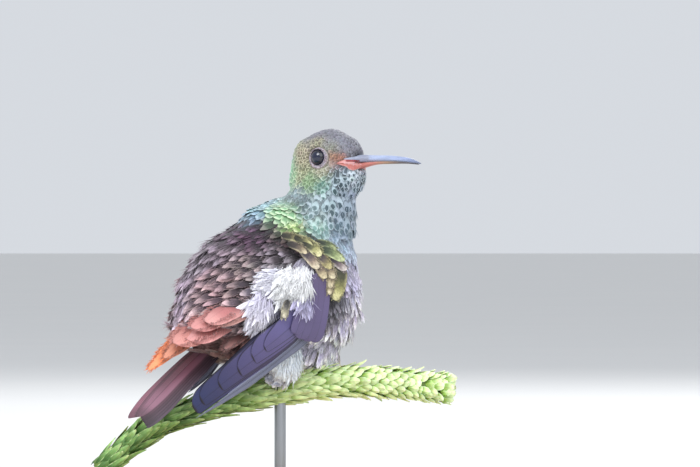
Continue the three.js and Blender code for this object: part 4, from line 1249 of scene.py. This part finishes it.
def make_eyes(skin):
    ball_paint, lid_paint = eye_paint(), eyelid_paint()
    up = np.array([0, 0, 1.0])
    for name, side in SIDES.items():
        turn = -side * EYE_TURN
        along = HEAD.turn([math.cos(turn), math.sin(turn), 0])
        out = HEAD.turn([-math.sin(turn) * side, math.cos(turn) * side, 0])
        u, v, z = EYE_PLACE
        centre = HEAD.out([u, side * (v - EYE_SUNK), z])
        pole = np.linspace(0, math.pi, 30)[:, None, None]
        spin = round_the_eye(40, side)[None, :, None]
        rim = np.cos(spin) * along * EYE_HALF[0] + np.sin(spin) * up * EYE_HALF[2]
        batch = Batch()
        add_rings(batch, centre + np.sin(pole) * rim + np.cos(pole) * out * EYE_HALF[1], tone("0b0a0c"))
        batch.build("eyeball_" + name, ball_paint, "eye", ["eye_" + name])
        rings = []
        for angle in round_the_eye(56, side):
            cos, sin = math.cos(angle), math.sin(angle)
            inner = along * cos * LID_OPENING[0] + up * sin * LID_OPENING[1]
            outer = along * (cos * LID_OUTER[0] + LID_SHIFT[0]) + up * (sin * LID_OUTER[1] + LID_SHIFT[1])
            rise_in = EYE_HALF[1] * math.sqrt(1 - (LID_OPENING[0] / EYE_HALF[0]) ** 2)
            hit = skin.tree.ray_cast(Vector(centre + outer + out * LID_RAY), Vector(-out))
            rise_out = LID_RAY - hit[3] if hit[0] else rise_in
            rings.append([centre + mix(inner, outer, q) + out * (mix(rise_in, rise_out, max(q, 0)) + rise)
                          for q, rise in LID_SECTION])
        batch = Batch()
        add_loop(batch, np.array(rings), tone("a2969e"), tone("bcb1ba"))
        batch.build("eyelid_" + name, lid_paint, "eyelid")


def eye_paint():
    paint = Paint("eye_gloss", Roughness=0.06, Specular_IOR_Level=0.1, Coat_Weight=1.0, Coat_Roughness=0.03,
                  Coat_IOR=1.6)
    along = paint.vane()[0]
    iris = paint.times(paint.band(along, 0.2, 0.23), paint.band(along, 0.36, 0.3))
    grain = paint.noise(4000.0)
    brown = paint.mix(grain, tone("0d0d1a"), tone("15121c"))
    # painted reflection: the pupil and the rest of the ball are navy rather than black, for a reflected blue
    # sky; the iris ring between them keeps the eye's own near-black
    return paint.finish(paint.mix(iris, tone("0a1230"), brown), grain, 0.02, 0.00001)


def eyelid_paint():
    paint = Paint("eyelid_skin", Roughness=0.55, Subsurface_Weight=0.1, Subsurface_Scale=0.0005)
    beads = paint.node("TexVoronoi", {"Vector": paint.place(), "Scale": 2600.0}).outputs["Distance"]
    across = paint.vane()[1]
    colour = paint.mix(paint.band(beads, 0.1, 0.7), paint.field("rim"), tone("7a6e76"))
    colour = paint.scaled(colour, paint.band(across, -0.85, -0.45, 0.25, 1.0))
    colour = paint.mix(paint.band(across, -0.1, 0.3), colour, tone("8d8272"))
    return paint.finish(colour, paint.math("SUBTRACT", 1.0, beads), 0.6, 0.00012)


BILL_BASE_U, BILL_TIP_U, BILL_BASE_Z, BILL_TIP_Z, BILL_ARCH = 11.5, 34.3, 93.5, 93.0, 1.15
BILL_WIDTH, BILL_GAP = (1.5, 0.4), 0.04
BILL_HALVES = {
    "upper": (1, 0.0, [(0, 1.1), (.13, 1.05), (.33, .85), (.6, .75), (.8, .62), (.92, .42), (1, .2)],
                   [(0, "9396a7"), (.3, "a7b1cd"), (.6, "a3afcf"), (.85, "8792b3"), (1, "727990")]),
    "lower": (-1, 0.6, [(0, .9), (.13, .8), (.33, .45), (.6, .36), (.8, .22), (1, .1)],
                   [(0, "ba6c65"), (.3, "b57067"), (.5, "a4836a"), (.7, "685d5b"), (1, "3c3a44")]),
}


def bill_line(along):
    """Where the bill closes: a shallow arch, by the share of its length."""
    t = (1.2 - np.sqrt(1.44 - 0.8 * along)) / 0.4
    u = mix(BILL_BASE_U, BILL_TIP_U, along)
    z = ((1 - t) ** 2 * BILL_BASE_Z + 2 * t * (1 - t) * (BILL_BASE_Z + BILL_ARCH) + t * t * BILL_TIP_Z)
    return np.stack([u, np.zeros_like(u), z], axis=1)


def make_bill():
    for name, (rise, shorter, heights, colours) in BILL_HALVES.items():
        along = np.concatenate([[0], feather_shares(44)[1:]])
        high = table_at(smooth_line(heights, LINE_POINTS), along)
        line = bill_line(along * (1 - shorter / (BILL_TIP_U - BILL_BASE_U)))
        line[:, 2] += rise * (high + BILL_GAP / 2)
        wide = mix(BILL_WIDTH[0], BILL_WIDTH[1], along ** 0.6)
        blunt = np.sqrt(1 - np.clip((along - 0.97) / 0.03, 0, 1) ** 2)
        places, codes = zip(*colours)
        tint = read_at(along, places, [tone(code) for code in codes])
        batch = Batch()
        tube(batch, HEAD.out(line), np.stack([high, wide], axis=1) * blunt[:, None], tint, segments=24)
        batch.build("horn_" + name, horn_paint(f"bill_{name}_horn"), "bill_" + name, ["bill_" + name])


# The bare skin at the bill's base, by how far along the cheek a place lies: a coral
# corner of the mouth, a grey wedge above it and the groove between them.
FACE_ALONG = np.array([0.788, -0.616, 0])  # for the right side and the left one's mirror
FACE_INWARD = np.array([-0.616, -0.788, 0])
GAPE_TOP = [(3.7, 93.5), (4.9, 94.1), (6.2, 94.55), (8.1, 94.5), (9.4, 94.3), (10.8, 93.9)]
GAPE_LOW = [(3.7, 93.3), (4.9, 92.95), (6.5, 92.5), (7.3, 91.7), (8.4, 91.45), (9.4, 91.8), (10.8, 92.3)]
WEDGE_TOP = [(5.7, 94.75), (7.6, 95.1), (9.2, 95.4), (11.5, 95.75), (12.8, 95.7)]
WEDGE_LOW = [(5.7, 94.55), (6.6, 94.4), (8.2, 94.3), (10.3, 94.2), (11.5, 94.05), (12.8, 94.0)]
BARE_TOP = [(3.7, 93.3), (4.9, 94.0), (5.7, 94.9), (7.6, 95.2), (9.2, 95.5), (11.5, 95.9)]
GROOVE = [(6.3, 94.28), (7.6, 94.26), (9.3, 94.16), (10.2, 94.2)]
RIDGE = [(5.6, 93.5), (7.6, 93.62), (9.4, 93.45), (10.6, 93.3)]
FACE_RAY = 30  # how far out the rays that find the face start


def strip(line, below, above):
    """The lower and the upper edge of a strip along a line."""
    return [(a, z - below) for a, z in line], [(a, z + above) for a, z in line]


# Each sheet: piece, lower and upper edge, how far it stands off, colours, thickness, ridge.
FACE_SHEETS = [
    ("gape", GAPE_LOW, GAPE_TOP, 0.16, "ba7068", "d7adad", 0.3, 0.1),
    ("gape", *strip(GROOVE, 0.24, 0.08), 0.42, "8e3038", "a8444a", 0.1, 0.0),
    ("gape", *strip(RIDGE, 0.26, 0.26), 0.3, "d99a98", "f0c8c8", 0.3, 0.1),
    ("bill_base", WEDGE_LOW, WEDGE_TOP, 0.14, "989caf", "adb3c9", 0.24, 0.0),
]


def face_sheet(batch, tree, side, low, high, rise, tint, rim, patch, **shape):
    """A thin sheet on the side of the face between two lines of (along, z) places."""
    along_axis, inward = HEAD.turn(on_side(FACE_ALONG, side)), HEAD.turn(on_side(FACE_INWARD, side))
    rows = np.linspace(0, 1, 22)
    along = mix(low[0][0], low[-1][0], rows)
    bottom, top = table_at(low, along), table_at(high, along)
    t = BLADE_ACROSS * side
    z = mix(bottom[:, None], top[:, None], (t + 1) / 2)
    depth = np.empty(z.shape)
    for i, j in np.ndindex(*z.shape):
        start = HEAD.place + along_axis * along[i] - inward * FACE_RAY
        hit = tree.ray_cast(Vector((start[0], start[1], z[i, j])), Vector(inward))
        depth[i, j] = hit[3] - FACE_RAY if hit[0] else np.nan
    depth = np.where(np.isnan(depth), np.nanmean(depth), depth)
    for _ in range(2):
        depth[1:-1] = (depth[:-2] + 2 * depth[1:-1] + depth[2:]) / 4
    sheet = HEAD.place + along_axis * along[:, None, None] + inward * (depth - rise)[..., None]
    sheet[..., 2] = z
    add_sheet(batch, sheet, -inward, rows, tint, rim, patch, **shape)


def make_gape(skin):
    points, faces = solid_arrays(["bill_upper", "bill_lower"])
    whole = surface_of(np.concatenate([skin.points, points]),
                       [*skin.faces.tolist(), *(faces + len(skin.points)).tolist()])
    looks = {"gape": (gape_paint(), "bill_lower"), "bill_base": (horn_paint("bill_base_horn"), "bill_upper")}
    for name, side in SIDES.items():
        batches = {piece: Batch() for piece in looks}
        for index, (piece, low, high, rise, tint, rim, thick, rachis) in enumerate(FACE_SHEETS):
            face_sheet(batches[piece], whole, side, low, high, rise, tone(tint), tone(rim),
                       patch_cell(index, len(FACE_SHEETS)), thick=thick, rachis=rachis)
        for piece, batch in batches.items():
            batch.build(f"{piece}_{name}", *looks[piece])


def gape_paint():
    paint = Paint("gape_skin", Roughness=0.4, Subsurface_Weight=0.15, Subsurface_Scale=0.0005)
    folds = paint.plus(paint.times(paint.vane()[1], 5.0), paint.times(paint.noise(1300.0), 5.0))
    wave = paint.math("SINE", folds)
    pale = paint.times(paint.band(wave, 0.2, 1.0), 0.6)
    colour = paint.mix(pale, paint.field("tint"), paint.field("rim"))
    return paint.finish(colour, wave, 0.3, 0.00012)


def horn_paint(name):
    paint = Paint(name, Roughness=0.38, Specular_IOR_Level=0.4, Coat_Weight=0.05, Coat_Roughness=0.3)
    streak = paint.noise(900.0, 4.0, (0.15, 0.15, 1.6))
    light = paint.band(streak, 0.3, 0.75, 0.82, 1.12)
    return paint.finish(paint.scaled(paint.field("tint"), light), streak, 0.15, 0.00005)


# ---- feet --------------------------------------------------------------------------

PERCH_LINE = smooth_line([(-51.5, 0, 7.4), (-36, 0, 19.7), (-22, 0, 25.3), (-9.7, 0, 28.6),
                          (8.3, 0, 32), (23.6, 0, 33), (48.9, 0, 30.6)], 400)
PERCH_RADIUS = [(0, 3.6), (.3, 4), (.55, 4.8), (.9, 4.9), (1, 4.5)]
FEET = {"right": (0.545, -0.35, (1.2, -5.2, 39.5)), "left": (0.475, 0.4, (-4.8, 4.4, 38))}
TOES = [(-0.008, 1.35), (0.022, 1.35), (0.05, 1.35), (-0.012, -1.25)]  # spread, reach
TOE_RADIUS, CLAW_RADIUS, TARSUS_RADIUS, TOE_LIFT = 0.55, 0.22, 0.6, 1.0
CLAW_FROM, CLAW_OVERLAP = 0.72, 0.03


def on_perch(share, turn, height):
    """A place round the spike, turned from its top towards +Y."""
    places = np.linspace(0, 1, len(PERCH_LINE))
    ahead = unit(read_at(share, places, np.gradient(PERCH_LINE, axis=0)))
    across = np.array([0, 1.0, 0])
    turn, off = np.expand_dims(turn, -1), np.expand_dims(table_at(PERCH_RADIUS, share) + height, -1)
    out = np.cos(turn) * np.cross(ahead, across) + np.sin(turn) * across
    return read_at(share, places, PERCH_LINE) + out * off, out, ahead


def make_feet():
    skin_tint, claw_tint = tone("463f44"), tone("1c191c")
    scales, horn = foot_paint(), horn_paint("claw_horn")
    step = np.linspace(0, 1, 40)
    radius = mix(TOE_RADIUS, CLAW_RADIUS, step ** 2)
    knuckle = 1 + 0.12 * np.cos(step * 2 * math.pi * 3.2)
    toe, claw = step <= CLAW_FROM + CLAW_OVERLAP, step >= CLAW_FROM
    taper = radius[claw] * mix(1.0, 0.25, np.linspace(0, 1, claw.sum()))
    for name, (share, turn, ankle) in FEET.items():
        toes, claws = Batch(), Batch()
        sole = on_perch(share, turn, TOE_LIFT + TOE_RADIUS)[0]
        leg = mix(np.array(ankle), sole, np.linspace(0, 1, 14)[:, None])
        tube(toes, leg, np.full(14, TARSUS_RADIUS), skin_tint, (1, 0, 0), 14)
        for spread_by, reach in TOES:
            line = on_perch(share + spread_by * step, turn + reach * step, TOE_LIFT + radius * 0.8)[0]
            tube(toes, line[toe], (radius * knuckle)[toe], skin_tint, (1, 0, 0), 12)
            tube(claws, line[claw], taper, claw_tint, (1, 0, 0), 10)
        toes.build("toes_" + name, scales, "foot_skin", ["foot_" + name])
        claws.build("claws_" + name, horn, "foot_skin")


def foot_paint():
    paint = Paint("foot_scales", Roughness=0.55)
    scute = paint.math("SINE", paint.times(paint.vane()[0], 70.0))
    colour = paint.mix(paint.noise(1800.0), paint.field("tint"), paint.scaled(paint.field("tint"), 1.7))
    return paint.finish(colour, scute, 0.4, 0.0001)


# ---- the spike and the stand ---------------------------------------------------------

BRACTS, END_BRACTS, BRACT_TURN = 540, 60, math.radians(137.5)
CORE_SHARE, CORE_END = 0.72, 0.975
PATCH_COLUMNS, PATCH_ROWS = 30, 20


def make_spike():
    shares = np.linspace(0, 1, LINE_POINTS)
    round_end = np.sqrt(1 - np.clip((shares - 0.92) / 0.08, 0, 1) ** 2)
    radius = table_at(PERCH_RADIUS, shares) * CORE_SHARE * round_end
    core = read_at(shares * CORE_END, np.linspace(0, 1, len(PERCH_LINE)), PERCH_LINE)
    batch = Batch()
    tube(batch, core, radius, tone("5a7431"), (0, 1, 0), 24)
    batch.build("spike_core", spike_paint(), "spike", ["perch"])
    batch = Batch()
    for index in range(BRACTS + END_BRACTS):
        add_bract(batch, index)
    batch.build("spike_bracts", bract_paint(), "spike")


def add_bract(batch, index):
    """One of the bracts that wind round the spike and close its end."""
    rows = feather_shares(10)
    share = (index + rng.uniform(-0.3, 0.3)) / BRACTS
    share = min(max(share, 0.002), 1) ** 0.9 * 0.965
    turn = index * BRACT_TURN + rng.normal(0, 0.12)
    young = step_between(0.35, 0.95, share)
    length = mix(7.4, 3.4, young) * math.exp(rng.normal(0, 0.1))
    root, out, ahead = on_perch(share, turn, 0.0)
    inward = (1 - CORE_SHARE) * 1.15
    lift, bend = mix(0.38, 0.6, young) + rng.normal(0, 0.07), rng.normal(0.45, 0.16)
    if index >= BRACTS:
        inward = 1 - 0.92 * math.sqrt(1 - (index - BRACTS) / END_BRACTS)
        lift, bend = 0.35 * (1 - inward), 0.9
    root = root - out * inward * table_at(PERCH_RADIUS, share)
    angle = lift - bend * rows + 0.5 * np.clip(rows - 0.7, 0, 1)
    gap = np.diff(rows, prepend=0)
    line = root + length * (np.cumsum(np.cos(angle) * gap)[:, None] * ahead
                            + np.cumsum(np.sin(angle) * gap)[:, None] * out)
    half = mix(1.05, 1.3, young) * rounded(rows, 0.35, mix(1.5, 2.2, young), 0.75)
    light = step_between(0.3, 0.62, share)
    green = mix(tone("8cb465"), tone("eafab8"), light) * math.exp(rng.normal(0, 0.12))
    dark = mix(tone("3c6424"), tone("8fb44a"), light)
    tint = mix(dark, green, step_between(0.2, 0.8, rows)[:, None])
    rim = mix(tone("d0e09c"), tone("f2f8d0"), young)
    row, column = divmod(index, PATCH_COLUMNS)
    (u0, _), (u1, _) = patch_cell(column, PATCH_COLUMNS)
    patch = (u0, (row + 0.05) / PATCH_ROWS), (u1, (row + 0.95) / PATCH_ROWS)
    add_blade(batch, line, out, half, rows, tint, rim, patch, 0.22, thick=0.3, rachis=0.12)


def spike_paint():
    paint = Paint("spike_core", Roughness=0.6)
    grain = paint.noise(900.0)
    return paint.finish(paint.mix(grain, tone("485f26"), tone("7f9848")), grain, 0.3, 0.0003)


def bract_paint():
    paint = Paint("bract_leaf", Roughness=0.42, Subsurface_Weight=0.15, Subsurface_Scale=0.001,
                  Specular_IOR_Level=0.4)
    along, across, _ = paint.vane()
    tip, sides = paint.band(along, 0.72, 1.0), paint.band(paint.math("ABSOLUTE", across), 0.75, 1.0)
    blotch = paint.noise(700.0)
    share = paint.times(paint.math("MAXIMUM", tip, sides), paint.band(blotch, 0.3, 0.7))
    colour = paint.mix(share, paint.field("tint"), paint.field("rim"))
    vein = paint.math("SINE", paint.times(across, 26.0))
    shade = paint.band(blotch, 0.25, 0.75, 0.8, 1.15)
    return paint.finish(paint.scaled(colour, shade), vein, 0.25, 0.00012)


# The disc's and the rod's profiles: (radius, height) from the bottom to the top.
DISC = [(0, 0), (41.4, 0), (41.9, 0.2), (42, 0.8), (42, 4.1), (41.8, 4.6), (41.2, 5), (0, 5)]
ROD_RADIUS, ROD_FOOT, ROD_TOP = 1.6, 2.0, 29.2
ROD_SIDE = [(ROD_RADIUS, z) for z in np.linspace(ROD_FOOT + 0.1, ROD_TOP - 0.1, 8)]
ROD = [(0, ROD_FOOT), (ROD_RADIUS, ROD_FOOT), *ROD_SIDE, (ROD_RADIUS, ROD_TOP), (0, ROD_TOP)]


def turned(profile, segments, tint):
    """A body turned about the vertical."""
    spin = np.linspace(0, 2 * math.pi, segments, endpoint=False)
    batch = Batch()
    rings = [[[r * math.cos(a), r * math.sin(a), z] for a in spin] for r, z in profile]
    add_rings(batch, np.array(rings), tint)
    return batch


def make_stand():
    turned(DISC, 128, tone("563a27")).build("stand_disc", wood_paint(), "stand_wood", ["stand_base"])
    turned(ROD, 32, tone("8f9296")).build("stand_post", steel_paint(), "stand_steel", ["stand_rod"])


def wood_paint():
    paint = Paint("turned_wood", Roughness=0.45, Coat_Weight=0.2, Coat_Roughness=0.3)
    grain = paint.noise(160.0, 5.0, (0.12, 1.0, 1.0))
    colour = paint.mix(paint.band(grain, 0.35, 0.65), tone("ad8c62"), tone("c8ac84"))
    return paint.finish(colour, grain, 0.2, 0.0002)


def steel_paint():
    paint = Paint("brushed_steel", Metallic=1.0, Roughness=0.35)
    brush = paint.noise(500.0, 3.0, (1.0, 1.0, 0.05))
    return paint.finish(paint.mix(brush, tone("85888c"), tone("b4b6ba")), brush, 0.1, 0.00005)


# ---- camera, light and floor -------------------------------------------------------

FRAME_WIDTH = 194.4  # what the picture spans at the bird
VIEW_CENTRE = (19.4, 0, 74.0)
CAMERA_AWAY = 1500
SENSOR = 36
# Each light: place, size and power, in metres and watts, and colour.
LIGHTS = {
    "key": ((-0.5, -0.9, 0.85), 0.5, 2.6, (0.95, 0.975, 1.0)),
    "fill": ((0.5, -1.0, 0.8), 1.2, 6.4, (0.92, 0.96, 1.0)),
    "top": ((-0.4, -0.88, 1.05), 0.85, 10.0, (0.93, 0.96, 1.0)),
    "rim": ((0.25, 0.9, 0.75), 0.5, 5.0, (1.0, 1.0, 1.0)),
}
LIGHTS_AIM = (0, 0, 0.06)
SKY_COLOUR, SKY_STRENGTH = (0.9, 0.94, 1.0, 1.0), 0.75
FLOOR_HALF = 60000


def make_camera():
    data = bpy.data.cameras.new("camera")
    data.sensor_width = SENSOR
    data.lens = SENSOR * CAMERA_AWAY / FRAME_WIDTH
    data.clip_start, data.clip_end = 0.05, 20
    camera = bpy.data.objects.new("camera", data)
    camera.location = (Vector(VIEW_CENTRE) - Vector((0, CAMERA_AWAY, 0))) * MM
    camera.rotation_euler = (math.pi / 2, 0, 0)
    bpy.context.scene.collection.objects.link(camera)
    bpy.context.scene.camera = camera


def make_light(name, place, size, power, colour):
    data = bpy.data.lights.new(name, "AREA")
    data.shape, data.size, data.energy, data.color = "DISK", size, power, colour
    light = bpy.data.objects.new(name, data)
    light.location = place
    aim = Vector(LIGHTS_AIM) - Vector(place)
    light.rotation_euler = aim.to_track_quat("-Z", "Y").to_euler()
    bpy.context.scene.collection.objects.link(light)


def make_studio():
    world = bpy.data.worlds.new("studio")
    world.use_nodes = True
    sky = world.node_tree.nodes["Background"].inputs
    sky["Color"].default_value, sky["Strength"].default_value = SKY_COLOUR, SKY_STRENGTH
    bpy.context.scene.world = world
    bpy.context.scene.view_settings.view_transform = "Standard"
    for name, settings in LIGHTS.items():
        make_light(name, *settings)
    corners = np.array([(-1, -1, 0), (1, -1, 0), (1, 1, 0), (-1, 1, 0)]) * FLOOR_HALF
    mesh_piece("floor", corners, [[0, 1, 2, 3]], [], floor_paint())


def floor_paint():
    paint = Paint("floor_paint", Roughness=0.8)
    soft = paint.noise(6.0)
    return paint.finish(paint.mix(soft, tone("dededd"), tone("e3e2e0")))


# ---- build -------------------------------------------------------------------------

make_camera()
make_studio()
skin = make_skin()
make_coat(skin)
make_tufts(skin)
make_wings()
make_tail()
make_tail_coverts()
make_eyes(skin)
make_bill()
make_gape(skin)
make_feet()
make_spike()
make_stand()
